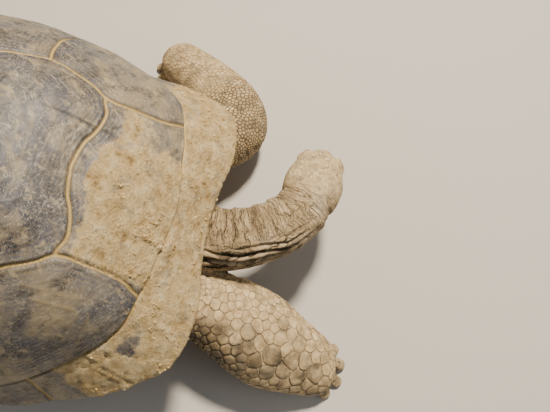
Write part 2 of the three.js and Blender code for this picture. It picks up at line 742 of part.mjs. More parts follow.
function forearmScales(path, { from, to, rows, columns, turnFrom, turnTo }) {
  const skin = limbSurface(path);
  const rowStep = (to - from) / rows;
  const columnStep = ((turnTo - turnFrom) * RAD) / columns;
  const corners = Array.from({ length: 6 }, (_, i) => ((i + 0.5) / 6) * 2 * Math.PI);
  const plates = [];
  for (let r = 0; r < rows; r++) {
    for (let c = 0; c < columns - (r % 2); c++) {
      const s = from + (r + 0.5) * rowStep;
      const theta = turnFrom * RAD + (c + 0.5 + (r % 2) / 2) * columnStep;
      const outline = corners.map((angle) => [
        s + SCALE.spread * SCALE.stretch * rowStep * Math.cos(angle),
        theta + SCALE.spread * columnStep * Math.sin(angle),
      ]);
      const outward = skin(s, theta).sub(path(s).middle);
      const facing = surfaceNormal(skin, s, theta).dot(outward) < 0 ? -1 : 1;
      plates.push(plateOn(skin, outline, 1, { ...SCALE, facing }));
    }
  }
  return plates;
}

// ---------- the animal ----------
const shellBlock = shellCore(GAP);
const plastronBlock = plastronCore(GAP).add(plastronCore(0).translate([0, 0, 2 * GAP]));
const torso = without(torsoCore(0), plastronBlock);
const torsoBlock = torsoCore(GAP);
const roots = [shellBlock, plastronBlock, torsoBlock];

const forefoot = { count: 5, turn: 0, spread: 66, radius: 50, length: 19, height: 14, along: 0.84 };
const hindfoot = { count: 4, turn: 0, spread: 56, radius: 46, length: 22, height: 14, along: 0.84 };
const legs = {
  foreleg_right: { path: FORELEG_RIGHT, elbow: 0.43, foot: { ...forefoot, turn: -20 } },
  foreleg_left: { path: FORELEG_LEFT, elbow: 0.4, foot: forefoot },
  hindleg_right: { path: hindPath(-1), elbow: 0.4, foot: hindfoot },
  hindleg_left: { path: hindPath(1), elbow: 0.4, foot: hindfoot },
};
const rightPatch = { from: 0.46, to: 0.93, rows: 6, columns: 4, turnFrom: 12, turnTo: 168 };
const leftPatch = { from: 0.44, to: 0.86, rows: 5, columns: 4, turnFrom: 0, turnTo: 130 };
const scales = {
  foreleg_right: forearmScales(FORELEG_RIGHT, rightPatch),
  foreleg_left: forearmScales(FORELEG_LEFT, leftPatch),
};

const solids = { carapace: carapace(), plastron: without(plastron(), shellBlock), torso };

for (const [name, leg] of Object.entries(legs)) {
  const plain = limbSolid(leg.path, LIMB_MESH);
  const places = clawPlaces(leg.path, leg.foot);
  const whole = above(joined([plain, ...places.map(toeSolid), ...(scales[name] ?? [])]), 0);
  const claws = places.map(({ root, tip }) => above(clawSolid(root, tip), 0));
  const sockets = places.map(({ root, tip }) => clawSolid(root, tip, GAP));
  const body = without(whole, ...roots, ...sockets);
  const at = leg.path(leg.elbow);
  const cut = at.forward.dot(at.middle);
  const plane = at.forward.toArray();
  solids[name + "_upper"] = biggest(body.trimByPlane(plane.map((x) => -x), -cut + GAP / 2));
  solids[name + "_lower"] = biggest(body.trimByPlane(plane, cut + GAP / 2));
  claws.forEach((claw, i) => (solids[`${name}_claw_${i + 1}`] = claw));
  leg.block = limbSolid(leg.path, LIMB_MESH, GAP);
}

solids.tail = above(without(limbSolid(TAIL, TAIL_MESH), ...roots), 0);
const headBlock = placed(headCore(GAP));
solids.neck = without(
  limbSolid(NECK, NECK_MESH, 0, neckFold),
  ...roots,
  legs.foreleg_right.block,
  legs.foreleg_left.block,
  headBlock,
);
solids.head = placed(biggest(head().trimByPlane([1, 0, 0], GAP)));
for (const [name, side] of [["eye_left", 1], ["eye_right", -1]]) {
  solids[name] = placed(ball(eyeCentre(side), [EYE_RADIUS, EYE_RADIUS, EYE_RADIUS]));
}

const finish = (color, roughness) => new THREE.MeshStandardMaterial({ color, roughness, metalness: 0 });
const MATERIALS = {
  carapace: finish(0x77726a, 0.5),
  plastron: finish(0x8a8068, 0.6),
  eye: finish(0x1a1410, 0.15),
  claw: finish(0x8f8069, 0.5),
  skin: finish(0xb09a76, 0.85),
};

function materialOf(name) {
  if (name.includes("claw")) return MATERIALS.claw;
  if (name.startsWith("eye")) return MATERIALS.eye;
  return MATERIALS[name] ?? MATERIALS.skin;
}

function meshOf(name, solid) {
  const { vertProperties, triVerts } = solid.getMesh();
  const geometry = new THREE.BufferGeometry()
    .setAttribute("position", new THREE.BufferAttribute(new Float32Array(vertProperties), 3))
    .setIndex(new THREE.BufferAttribute(new Uint32Array(triVerts), 1));
  geometry.computeVertexNormals();
  const mesh = new THREE.Mesh(geometry, materialOf(name));
  mesh.name = name;
  return mesh;
}

const tortoise = new THREE.Group();
for (const [name, solid] of Object.entries(solids)) tortoise.add(meshOf(name, solid));

export default tortoise;
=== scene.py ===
# A giant tortoise at rest, life size, with dried mud on the front of its shell and its neck turned to its
# left. Metres, +Z up, the front towards -Y, the animal's left towards +X. Shapes are worked out in mm and
# scaled when they become meshes.
import itertools
import math
import random
from functools import partial

import bmesh
import bpy
import numpy as np
from mathutils import Matrix, Vector
from mathutils.bvhtree import BVHTree
from mathutils.kdtree import KDTree


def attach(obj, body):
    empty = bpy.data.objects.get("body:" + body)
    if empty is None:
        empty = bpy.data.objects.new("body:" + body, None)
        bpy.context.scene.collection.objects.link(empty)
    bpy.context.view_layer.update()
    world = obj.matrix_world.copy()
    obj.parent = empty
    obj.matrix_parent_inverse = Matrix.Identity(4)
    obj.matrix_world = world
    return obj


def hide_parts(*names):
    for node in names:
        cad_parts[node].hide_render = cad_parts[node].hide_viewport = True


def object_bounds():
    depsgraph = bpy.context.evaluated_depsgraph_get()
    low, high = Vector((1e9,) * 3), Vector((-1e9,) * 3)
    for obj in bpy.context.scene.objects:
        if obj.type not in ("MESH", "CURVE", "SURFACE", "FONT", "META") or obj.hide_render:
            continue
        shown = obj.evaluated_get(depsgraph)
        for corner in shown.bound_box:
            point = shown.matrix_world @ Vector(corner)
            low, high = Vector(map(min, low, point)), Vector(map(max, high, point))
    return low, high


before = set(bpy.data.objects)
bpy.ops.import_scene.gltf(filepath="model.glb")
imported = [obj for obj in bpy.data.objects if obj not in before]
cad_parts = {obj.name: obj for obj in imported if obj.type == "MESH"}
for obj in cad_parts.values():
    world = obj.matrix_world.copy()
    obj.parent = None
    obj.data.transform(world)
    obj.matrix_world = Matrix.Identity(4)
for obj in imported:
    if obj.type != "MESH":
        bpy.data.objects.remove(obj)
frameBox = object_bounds()
mm = 0.001
metre = 1000  # in mm, so that a noise of Scale metre / 20 has lumps 20 mm across


camera = {
    "place": (-0.3311, -0.6303, 1.3234),
    "right": (0.1899, -0.9816, 0.0211),
    "up": (0.9179, 0.1851, 0.351),
    "fieldOfView": 46,  # degrees across
}


def newObject(name, data):
    made = bpy.data.objects.new(name, data)
    bpy.context.scene.collection.objects.link(made)
    return made


def placeCamera():
    data = bpy.data.cameras.new("camera")
    data.angle = math.radians(camera["fieldOfView"])
    seen = newObject("camera", data)
    right = Vector(camera["right"]).normalized()
    back = right.cross(Vector(camera["up"])).normalized()
    up = back.cross(right)
    turn = Matrix((right, up, back)).transposed()
    seen.matrix_world = Matrix.Translation(camera["place"]) @ turn.to_4x4()
    bpy.context.scene.camera = seen


placeCamera()
print("camera placed")


def mixed(a, b, t):
    return a + (b - a) * t


def smoothStep(a, b, x):
    t = np.clip((np.asarray(x, float) - a) / (b - a), 0, 1)
    return t * t * (3 - 2 * t)


def curve(rows, x):  # smooth through [place, value] rows, level at both ends
    xs, ys = np.array(rows, float).T
    x = np.asarray(x, float)
    i = np.clip(np.searchsorted(xs, x), 1, len(xs) - 1)
    slope = np.zeros(len(xs))
    slope[1:-1] = (ys[2:] - ys[:-2]) / (xs[2:] - xs[:-2])
    span = xs[i] - xs[i - 1]
    t = np.clip((x - xs[i - 1]) / span, 0, 1)
    level = (2 * t**3 - 3 * t**2 + 1) * ys[i - 1] + (3 * t**2 - 2 * t**3) * ys[i]
    return level + span * ((t**3 - 2 * t**2 + t) * slope[i - 1] + (t**3 - t**2) * slope[i])


def lattice(cell, seed):  # a fixed random value from 0 to 1 for each whole-numbered cell
    x, y, z = np.moveaxis(cell, -1, 0)
    # large primes stir 32 bits, of which 16 are kept
    h = ((x * 73856093) ^ (y * 19349663) ^ (z * 83492791) ^ (seed * 2654435761)) & 0xFFFFFFFF
    h = ((h ^ (h >> 13)) * 1274126177) & 0xFFFFFFFF
    return ((h ^ (h >> 16)) & 0xFFFF) / 65535


def noise(points, size, seed, octaves=3):  # -1 to 1, with lumps about size across
    total, weight = 0, 0
    for octave in range(octaves):
        place = points / size * 2**octave + 17.3 * octave  # shifted, so that octaves don't line up
        cell = np.floor(place).astype(np.int64)
        f = place - cell
        f = f * f * (3 - 2 * f)
        value = 0
        for corner in itertools.product((0, 1), repeat=3):
            share = np.prod(np.where(corner, f, 1 - f), axis=-1)
            value = value + share * lattice(cell + np.array(corner), seed + octave)
        total = total + value * 0.5**octave
        weight += 0.5**octave
    return total / weight * 2 - 1


def creases(phase, width):  # 1 in the bottom of each fold, 0 between folds, which are 1 apart
    return np.exp(-(((phase - np.round(phase)) / width) ** 2))


def meshObject(name, points, faces, material=None):
    mesh = bpy.data.meshes.new(name)
    mesh.from_pydata((np.asarray(points) * mm).tolist(), [], [list(f) for f in faces])
    mesh.polygons.foreach_set("use_smooth", [True] * len(mesh.polygons))
    mesh.update()
    made = newObject(name, mesh)
    if material:
        mesh.materials.append(material)
    return made


def together(parts):  # the points and the faces of several parts as one list of each
    points, faces, count = [], [], 0
    for p, f in parts:
        points.append(p)
        faces += [[count + k for k in face] for face in f]
        count += len(p)
    return np.vstack(points), faces


def gridFaces(rows, columns):  # quads between rows of a grid whose rows run round
    i, j = np.meshgrid(np.arange(rows - 1), np.arange(columns), indexing="ij")
    i, j = i.ravel(), j.ravel()
    k = (j + 1) % columns
    return np.stack([i * columns + j, (i + 1) * columns + j, (i + 1) * columns + k, i * columns + k], axis=1)


def unit(vectors):
    return vectors / np.linalg.norm(vectors, axis=-1, keepdims=True)


def gridNormals(points):  # outward normals of a grid of points, rows first, columns run round
    across = np.roll(points, -1, axis=1) - np.roll(points, 1, axis=1)
    along = np.gradient(points, axis=0)
    normal = np.cross(along, across)
    return normal / np.maximum(np.linalg.norm(normal, axis=-1, keepdims=True), 1e-9)


def setAttribute(made, name, values):  # a number or three for each point
    values = np.asarray(values, np.float32)
    kind, field = ("FLOAT", "value") if values.ndim == 1 else ("FLOAT_VECTOR", "vector")
    attribute = made.data.attributes.new(name, kind, "POINT")
    attribute.data.foreach_set(field, values.ravel())


def pointsOf(made):
    flat = np.zeros(len(made.data.vertices) * 3, np.float32)
    made.data.vertices.foreach_get("co", flat)
    return flat.reshape(-1, 3).astype(float) / mm


def normalsOf(made):
    flat = np.zeros(len(made.data.vertices) * 3, np.float32)
    made.data.vertex_normals.foreach_get("vector", flat)
    return flat.reshape(-1, 3).astype(float)


def movePoints(made, points):
    made.data.vertices.foreach_set("co", (points * mm).astype(np.float32).ravel())
    made.data.update()


def settled(made):  # the modifiers become plain mesh
    graph = bpy.context.evaluated_depsgraph_get()
    mesh = bpy.data.meshes.new_from_object(made.evaluated_get(graph))
    made.modifiers.clear()
    made.data = mesh
    return made


def orderFaces(made):  # every face looks outwards
    bpy.context.view_layer.objects.active = made
    bpy.ops.object.select_all(action="DESELECT")
    made.select_set(True)
    bpy.ops.object.mode_set(mode="EDIT")
    bpy.ops.mesh.select_all(action="SELECT")
    bpy.ops.mesh.normals_make_consistent(inside=False)
    bpy.ops.object.mode_set(mode="OBJECT")


def linear(code):  # an sRGB hex colour as the linear RGBA that the shaders use
    parts = [int(code[i : i + 2], 16) / 255 for i in (1, 3, 5)]
    return (*[c / 12.92 if c <= 0.04045 else ((c + 0.055) / 1.055) ** 2.4 for c in parts], 1)


def setInputs(tree, inputs, values):  # values are sockets to link, hex colours or plain values
    for key, value in values.items():
        if isinstance(value, bpy.types.NodeSocket):
            tree.links.new(value, inputs[key])
        else:
            isColour = isinstance(value, str) and value.startswith("#")
            inputs[key].default_value = linear(value) if isColour else value


def addNode(tree, family, kind, inputs=None, out=0, stops=None, **settings):
    # stops are the places and colours of a colour ramp, settings the node's own, and out is what it gives
    made = tree.nodes.new(family + kind)
    for key, value in settings.items():
        setattr(made, key, value)
    if stops:
        ramp = made.color_ramp.elements
        ramp.remove(ramp[1])
        ramp[0].position = stops[0][0]
        for place, _ in stops[1:]:
            ramp.new(place)
        for stop, (_, code) in zip(ramp, stops):
            stop.color = linear(code)
    setInputs(tree, made.inputs, inputs or {})
    return made.outputs[out]


colours = {"out": 2, "data_type": "RGBA"}  # a Mix node's inputs are then 0, its share, and 6 and 7
smooth = {"interpolation_type": "SMOOTHSTEP"}


def newMaterial(name):  # the material, what adds a node to it and what sets its shader
    made = bpy.data.materials.new(name)
    made.use_nodes = True
    tree = made.node_tree
    shader = tree.nodes["Principled BSDF"].inputs
    return made, partial(addNode, tree, "ShaderNode"), partial(setInputs, tree, shader)


def wornShellHorn():
    # Tortoise keratin, worn for decades: slate to brown, a low sheen where it is bare, and dull where dust
    # and dried mud lie on it. Young horn shows golden along the seams.
    made, node, setShader = newMaterial("worn tortoise keratin")
    place = node("TexCoord", out="Object")
    fact = {
        name: node("Attribute", out="Fac", attribute_name=name)
        for name in ("seamGap", "mud", "scuteTint", "growthRing", "scratch")
    }
    # slate that drifts over 150 mm, a little lighter or darker on each scute
    broad = node("TexNoise", {"Vector": place, "Scale": metre / 150, "Detail": 5, "Distortion": 0.6})
    tintShare = 0.16
    shade = node("Math", {0: fact["scuteTint"], 1: tintShare, 2: broad}, operation="MULTIPLY_ADD")
    stops = [(0.36, "#2b2d37"), (0.5, "#484a54"), (0.62, "#65625f"), (0.74, "#877b65")]
    horn = node("ValToRGB", {"Fac": shade}, stops=stops)
    # patches drawn out by rubbing: width in mm, turn, limits of the noise, strongest share, colour
    patches = [
        (48, 0.6, 0.5, 0.66, 0.5, "#a08f6c"),
        (26, -0.5, 0.48, 0.62, 0.7, "#25262f"),
        (13, 1.1, 0.54, 0.68, 0.55, "#b5a27c"),
        (6, -0.9, 0.52, 0.7, 0.4, "#aba08a"),
    ]
    for size, turn, low, high, most, code in patches:
        turned = {"Vector": place, "Rotation": (0, 0, turn), "Scale": (2.5, 1, 1)}
        drawn = node("Mapping", turned, vector_type="TEXTURE")
        spots = node("TexNoise", {"Vector": drawn, "Scale": metre / size, "Detail": 7, "Roughness": 0.62})
        limits = {"From Min": low, "From Max": high, "To Max": most}
        share = node("MapRange", {"Value": spots, **limits}, **smooth)
        horn = node("Mix", {0: share, 6: horn, 7: code}, **colours)
    ringShare = node("Math", {0: fact["growthRing"], 1: 0.6}, operation="MULTIPLY")
    horn = node("Mix", {0: ringShare, 6: horn, 7: "#b39a68"}, **colours)
    # thin scratches, 2 mm wide and 50 mm long, in five directions
    for turn in (0.5, -0.75, 1.35, -0.1, 0.95):
        turned = {"Vector": place, "Rotation": (0, 0, turn), "Scale": (25, 1, 1)}
        along = node("Mapping", turned, vector_type="TEXTURE")
        lines = node("TexNoise", {"Vector": along, "Scale": metre / 2.2, "Detail": 2, "Distortion": 0.5})
        broken = node("TexNoise", {"Vector": place, "Scale": metre / (50 + 20 * turn), "Detail": 3})
        thin = node("MapRange", {"Value": lines, "From Min": 0.6, "From Max": 0.7})
        where = node("MapRange", {"Value": broken, "From Min": 0.45, "From Max": 0.6, "To Max": 0.6})
        share = node("Math", {0: thin, 1: where}, operation="MULTIPLY")
        horn = node("Mix", {0: share, 6: horn, 7: "#b7ae9c"}, **colours)
    scored = node("Math", {0: fact["scratch"], 1: 0.95}, operation="MULTIPLY")
    horn = node("Mix", {0: scored, 6: horn, 7: "#2b2824"}, **colours)
    # a golden line 6 mm wide in each groove, browner at its edges
    stray, goldWidth = 3.4, 9.0
    wander = node("TexNoise", {"Vector": place, "Scale": metre / 12, "Detail": 4})
    drift = node("Math", {0: wander, 1: stray, 2: -stray / 2}, operation="MULTIPLY_ADD")
    gap = node("Math", {0: fact["seamGap"], 1: drift}, operation="ADD")
    share = node("Math", {0: fact["seamGap"], 1: goldWidth}, operation="DIVIDE")
    stops = [(0.0, "#cdb67c"), (0.2, "#a98f55"), (0.36, "#6f5c38"), (0.5, "#6f6349"), (0.8, "#726858")]
    young = node("ValToRGB", {"Fac": share}, stops=stops)
    limits = {"From Min": 1.8, "From Max": 5.6, "To Min": 0.95, "To Max": 0.0}
    share = node("MapRange", {"Value": gap, **limits}, **smooth)
    horn = node("Mix", {0: share, 6: horn, 7: young}, **colours)
    # dried mud, with a ragged edge worked out at 16 mm
    edge = node("TexNoise", {"Vector": place, "Scale": metre / 16, "Detail": 8, "Roughness": 0.62})
    raggedness = 0.55
    cover = node("Math", {0: edge, 1: raggedness, 2: fact["mud"]}, operation="MULTIPLY_ADD")
    muddy = node("MapRange", {"Value": cover, "From Min": 0.62, "From Max": 0.84}, **smooth)
    clumps = node("TexNoise", {"Vector": place, "Scale": metre / 20, "Detail": 9, "Roughness": 0.66})
    stops = [(0.3, "#a08150"), (0.42, "#d6b67c"), (0.56, "#ebcf98"), (0.72, "#fae8bd")]
    mud = node("ValToRGB", {"Fac": clumps}, stops=stops)
    # grey stains, and darker flecks that are painted shade, the shadows of small grains in the mud
    for size, low, high, most, code in ((26, 0.54, 0.7, 0.6, "#8f897e"), (7, 0.58, 0.68, 0.45, "#84693f")):
        spots = node("TexNoise", {"Vector": place, "Scale": metre / size, "Detail": 6, "Roughness": 0.6})
        share = node("MapRange", {"Value": spots, "From Min": low, "From Max": high, "To Max": most})
        mud = node("Mix", {0: share, 6: mud, 7: code}, **colours)
    colour = node("Mix", {0: muddy, 6: horn, 7: mud}, **colours)
    limits = {"From Min": 0.3, "From Max": 0.7, "To Min": 0.45, "To Max": 0.68}
    polish = node("MapRange", {"Value": edge, **limits})
    rough = node("Math", {0: muddy, 1: 0.36, 2: polish}, operation="MULTIPLY_ADD", use_clamp=True)
    # fine scoring in the horn, and 5 mm grains of earth in the mud
    turned = {"Vector": place, "Rotation": (0, 0, 0.4), "Scale": (7, 1, 1)}
    fine = node("Mapping", turned, vector_type="TEXTURE")
    scoring = node("TexNoise", {"Vector": fine, "Scale": metre / 2.2, "Detail": 4})
    bump = node("Bump", {"Height": scoring, "Distance": 0.25 * mm})
    grains = node("TexNoise", {"Vector": place, "Scale": metre / 5, "Detail": 9, "Roughness": 0.66})
    bump = node("Bump", {"Height": clumps, "Strength": muddy, "Distance": 8.0 * mm, "Normal": bump})
    strength = node("Math", {0: muddy, 1: 0.85, 2: 0.15}, operation="MULTIPLY_ADD")
    bump = node("Bump", {"Height": grains, "Strength": strength, "Distance": 3.2 * mm, "Normal": bump})
    setShader({"Base Color": colour, "Roughness": rough, "Normal": bump})
    return made


def rubbedBellyHorn():
    # Plastron keratin, rubbed on the ground: yellow-brown, streaked lengthwise and almost without a sheen.
    made, node, setShader = newMaterial("rubbed plastron keratin")
    place = node("TexCoord", out="Object")
    broad = node("TexNoise", {"Vector": place, "Scale": metre / 70, "Detail": 7, "Distortion": 0.5})
    stops = [(0.3, "#5d513b"), (0.48, "#7d6c4c"), (0.6, "#97835c"), (0.75, "#b39e74")]
    horn = node("ValToRGB", {"Fac": broad}, stops=stops)
    long = node("Mapping", {"Vector": place, "Scale": (1, 0.1, 1)})
    streaks = node("TexNoise", {"Vector": long, "Scale": metre / 7, "Detail": 4})
    share = node("MapRange", {"Value": streaks, "From Min": 0.55, "From Max": 0.75, "To Max": 0.4})
    colour = node("Mix", {0: share, 6: horn, 7: "#4a4030"}, **colours)
    bump = node("Bump", {"Height": streaks, "Distance": 0.4 * mm})
    setShader({"Base Color": colour, "Roughness": 0.62, "Normal": bump})
    return made


def wrinkledSkin():
    # Thick dry reptile skin: matt and dusty, with painted shade darkening its folds. The folds run round the
    # limbs, so their pattern follows the place along and round each limb in mm, kept in limbMap.
    made, node, setShader = newMaterial("dusty reptile skin")
    place = node("TexCoord", out="Object")
    fact = {
        name: node("Attribute", out="Fac", attribute_name=name)
        for name in ("fold", "faceArea", "beak", "wrinkle", "longFold")
    }
    limbMap = node("Attribute", out="Vector", attribute_name="limbMap")
    broad = node("TexNoise", {"Vector": place, "Scale": metre / 45, "Detail": 7, "Distortion": 0.4})
    stops = [(0.3, "#99835f"), (0.46, "#b79e76"), (0.6, "#d2bb95"), (0.75, "#e4d2b0")]
    hide = node("ValToRGB", {"Fac": broad}, stops=stops)
    dusty = node("TexNoise", {"Vector": place, "Scale": metre / 18, "Detail": 8, "Roughness": 0.64})
    stops = [(0.3, "#8d7a5a"), (0.42, "#bfa67a"), (0.55, "#dcc294"), (0.7, "#f0dcb4")]
    pale = node("ValToRGB", {"Fac": dusty}, stops=stops)
    share = node("Math", {0: fact["faceArea"], 1: 0.9}, operation="MULTIPLY")
    colour = node("Mix", {0: share, 6: hide, 7: pale}, **colours)
    # creases where a stretched noise passes its middle value, and a net of small cells between them:
    # mm along the limb and round it, width of a crease, where, how dark (painted shade), and its depth in mm
    sway = node("TexNoise", {"Vector": place, "Scale": metre / 38, "Detail": 3}, out="Color")
    swayed = node("VectorMath", {0: sway, 1: (22, 40, 0), 2: limbMap}, operation="MULTIPLY_ADD")
    creased = [
        (False, 17, 105, 0.028, "wrinkle", 0.5, 2.8),
        (False, 7, 48, 0.04, "wrinkle", 0.5, 1.2),
        (True, 3.2, 9, 0.18, "wrinkle", 0.4, 0.6),
        (False, 120, 26, 0.06, "longFold", 1.0, 4.5),
        (False, 60, 12, 0.05, "longFold", 0.7, 2.2),
    ]
    toEdge = {"out": "Distance", "feature": "DISTANCE_TO_EDGE"}
    bump = None
    for isNet, along, across, width, where, darkness, depth in creased:
        cells = node("VectorMath", {0: swayed, 1: (1 / along, 1 / across, 1)}, operation="MULTIPLY")
        if isNet:
            edges = node("TexVoronoi", {"Vector": cells, "Scale": 1.0}, **toEdge, voronoi_dimensions="2D")
        else:
            level = node("TexNoise", {"Vector": cells, "Scale": 1.0, "Detail": 1.5})
            above = node("Math", {0: level, 1: 0.5}, operation="SUBTRACT")
            edges = node("Math", {0: above}, operation="ABSOLUTE")
        raised = node("MapRange", {"Value": edges, "From Max": width}, **smooth)
        sunk = node("Math", {0: 1.0, 1: raised}, operation="SUBTRACT")
        shared = node("Math", {0: sunk, 1: fact[where]}, operation="MULTIPLY")
        share = node("Math", {0: shared, 1: darkness}, operation="MULTIPLY")
        # painted shade at the bottom of each crease
        colour = node("Mix", {0: share, 6: colour, 7: "#3f2f1d"}, **colours)
        inputs = {"Height": raised, "Strength": fact[where], "Distance": depth * mm}
        bump = node("Bump", inputs if bump is None else {**inputs, "Normal": bump})
    mottle = node("TexNoise", {"Vector": place, "Scale": metre / 22, "Detail": 8, "Roughness": 0.7})
    share = node("MapRange", {"Value": mottle, "From Min": 0.48, "From Max": 0.62, "To Max": 0.75})
    share = node("Math", {0: share, 1: fact["faceArea"]}, operation="MULTIPLY")
    colour = node("Mix", {0: share, 6: colour, 7: "#827662"}, **colours)
    # the worn scales of the face, 9 mm across
    tiles = node("TexVoronoi", {"Vector": place, "Scale": metre / 9, "Randomness": 0.8}, **toEdge)
    raised = node("MapRange", {"Value": tiles, "From Max": 0.12}, **smooth)
    sunk = node("Math", {0: 1.0, 1: raised}, operation="SUBTRACT")
    broken = node("MapRange", {"Value": dusty, "From Min": 0.42, "From Max": 0.6, "To Max": 0.85})
    shared = node("Math", {0: sunk, 1: broken}, operation="MULTIPLY")
    share = node("Math", {0: shared, 1: fact["faceArea"]}, operation="MULTIPLY")
    colour = node("Mix", {0: share, 6: colour, 7: "#6b5639"}, **colours)
    bump = node("Bump", {"Height": raised, "Strength": share, "Distance": 1.6 * mm, "Normal": bump})
    # painted shade in the skin's folds and creases, in the gape and in the nostrils
    share = node("MapRange", {"Value": fact["fold"], "From Min": 0.25, "From Max": 0.95, "To Max": 0.85})
    colour = node("Mix", {0: share, 6: colour, 7: "#483825"}, **colours)
    # the jaws' horny edge, darker and streaked at 12 mm
    streaks = node("TexNoise", {"Vector": place, "Scale": metre / 12, "Detail": 5})
    horn = node("ValToRGB", {"Fac": streaks}, stops=[(0.35, "#574c3f"), (0.62, "#8d7f68")])
    share = node("Math", {0: fact["beak"], 1: 0.85}, operation="MULTIPLY")
    colour = node("Mix", {0: share, 6: colour, 7: horn}, **colours)
    pits = node("TexNoise", {"Vector": place, "Scale": metre / 4, "Detail": 6, "Roughness": 0.64})
    bump = node("Bump", {"Height": pits, "Distance": 0.9 * mm, "Normal": bump})
    setShader({"Base Color": colour, "Roughness": 0.86, "Normal": bump})
    return made


def legScaleHorn():
    # Thick leg scales: grey-brown horn with a faint sheen, under pale dust that lies thickest on their tops.
    made, node, setShader = newMaterial("dusty leg scale keratin")
    place = node("TexCoord", out="Object")
    fact = {
        name: node("Attribute", out="Fac", attribute_name=name)
        for name in ("scaleTint", "dust", "scaleRimShade")
    }
    stops = [(0.0, "#4b4231"), (0.35, "#6a5b42"), (0.7, "#857352"), (1.0, "#68604f")]
    horn = node("ValToRGB", {"Fac": fact["scaleTint"]}, stops=stops)
    mottle = node("TexNoise", {"Vector": place, "Scale": metre / 11, "Detail": 7})
    share = node("MapRange", {"Value": mottle, "From Min": 0.42, "From Max": 0.66, "To Max": 0.45})
    horn = node("Mix", {0: share, 6: horn, 7: "#5a4e3c"}, **colours)
    fine = node("TexNoise", {"Vector": place, "Scale": metre / 14, "Detail": 8, "Roughness": 0.64})
    stops = [(0.3, "#a38a60"), (0.5, "#ccb082"), (0.7, "#ecd4a6")]
    pale = node("ValToRGB", {"Fac": fine}, stops=stops)
    drift = node("TexNoise", {"Vector": place, "Scale": metre / 24, "Detail": 7, "Distortion": 0.4})
    limits = {"From Min": 0.3, "From Max": 0.7, "To Min": -0.55, "To Max": 0.5}
    spread = node("MapRange", {"Value": drift, **limits})
    cover = node("Math", {0: fact["dust"], 1: spread}, operation="ADD", use_clamp=True)
    colour = node("Mix", {0: cover, 6: horn, 7: pale}, **colours)
    bare = node("Math", {0: cover, 1: -0.15, 2: 1.0}, operation="MULTIPLY_ADD")  # dust fills cracks
    # painted shade on each scale's foot, in the cracks between scales, less where dust fills them
    share = node("Math", {0: fact["scaleRimShade"], 1: bare}, operation="MULTIPLY")
    colour = node("Mix", {0: share, 6: colour, 7: "#2f2518"}, **colours)
    grain = node("TexNoise", {"Vector": place, "Scale": metre / 4, "Detail": 7})
    bump = node("Bump", {"Height": grain, "Distance": 0.8 * mm})
    rough = node("Math", {0: cover, 1: 0.3, 2: 0.58}, operation="MULTIPLY_ADD")
    setShader({"Base Color": colour, "Roughness": rough, "Normal": bump})
    return made


def wornClawHorn():
    # Blunt walking claws: keratin, darker at the root, chalky at the worn tip, with dried earth on them.
    made, node, setShader = newMaterial("worn claw keratin")
    place = node("TexCoord", out="Object")
    along = node("Attribute", out="Fac", attribute_name="clawAlong")
    stops = [(0.0, "#5f5341"), (0.35, "#7d6d53"), (0.75, "#a8966f"), (1.0, "#cbb98f")]
    horn = node("ValToRGB", {"Fac": along}, stops=stops)
    dirt = node("TexNoise", {"Vector": place, "Scale": metre / 9, "Detail": 8, "Roughness": 0.62})
    share = node("MapRange", {"Value": dirt, "From Min": 0.45, "From Max": 0.56, "To Max": 0.85})
    colour = node("Mix", {0: share, 6: horn, 7: "#c5aa7e"}, **colours)
    bump = node("Bump", {"Height": dirt, "Distance": 3.0 * mm})
    setShader({"Base Color": colour, "Roughness": 0.62, "Normal": bump})
    return made


def wetEye():
    # A living eye: dark brown iris round a black pupil under a clear, wet and very smooth surface.
    made, node, setShader = newMaterial("wet tortoise cornea")
    out = node("Attribute", out="Fac", attribute_name="fromPupil")  # 1 at the iris's edge
    stops = [(0.0, "#050403"), (0.36, "#070504"), (0.42, "#3b2614"), (0.8, "#22150b"), (1.0, "#120c08")]
    colour = node("ValToRGB", {"Fac": out}, stops=stops)
    wet = {"Roughness": 0.08, "IOR": 1.38, "Coat Weight": 1.0, "Coat Roughness": 0.03}
    setShader({"Base Color": colour, **wet})
    return made


def driedMud():
    # Crumbs of dry earth: pale, rough and without any shine.
    made, node, setShader = newMaterial("dried earth")
    place = node("TexCoord", out="Object")
    lumps = node("TexNoise", {"Vector": place, "Scale": metre / 14, "Detail": 8})
    stops = [(0.3, "#ae8f5e"), (0.5, "#cdb07c"), (0.7, "#e2c999")]
    colour = node("ValToRGB", {"Fac": lumps}, stops=stops)
    grain = node("TexNoise", {"Vector": place, "Scale": metre / 3, "Detail": 6})
    bump = node("Bump", {"Height": grain, "Distance": 1.0 * mm})
    setShader({"Base Color": colour, "Roughness": 0.95, "Normal": bump})
    return made


def paleFloor():
    # A matt painted studio floor, which only catches soft shadows.
    made, _, setShader = newMaterial("matt floor paint")
    setShader({"Base Color": "#cfcac0", "Roughness": 0.9})
    return made


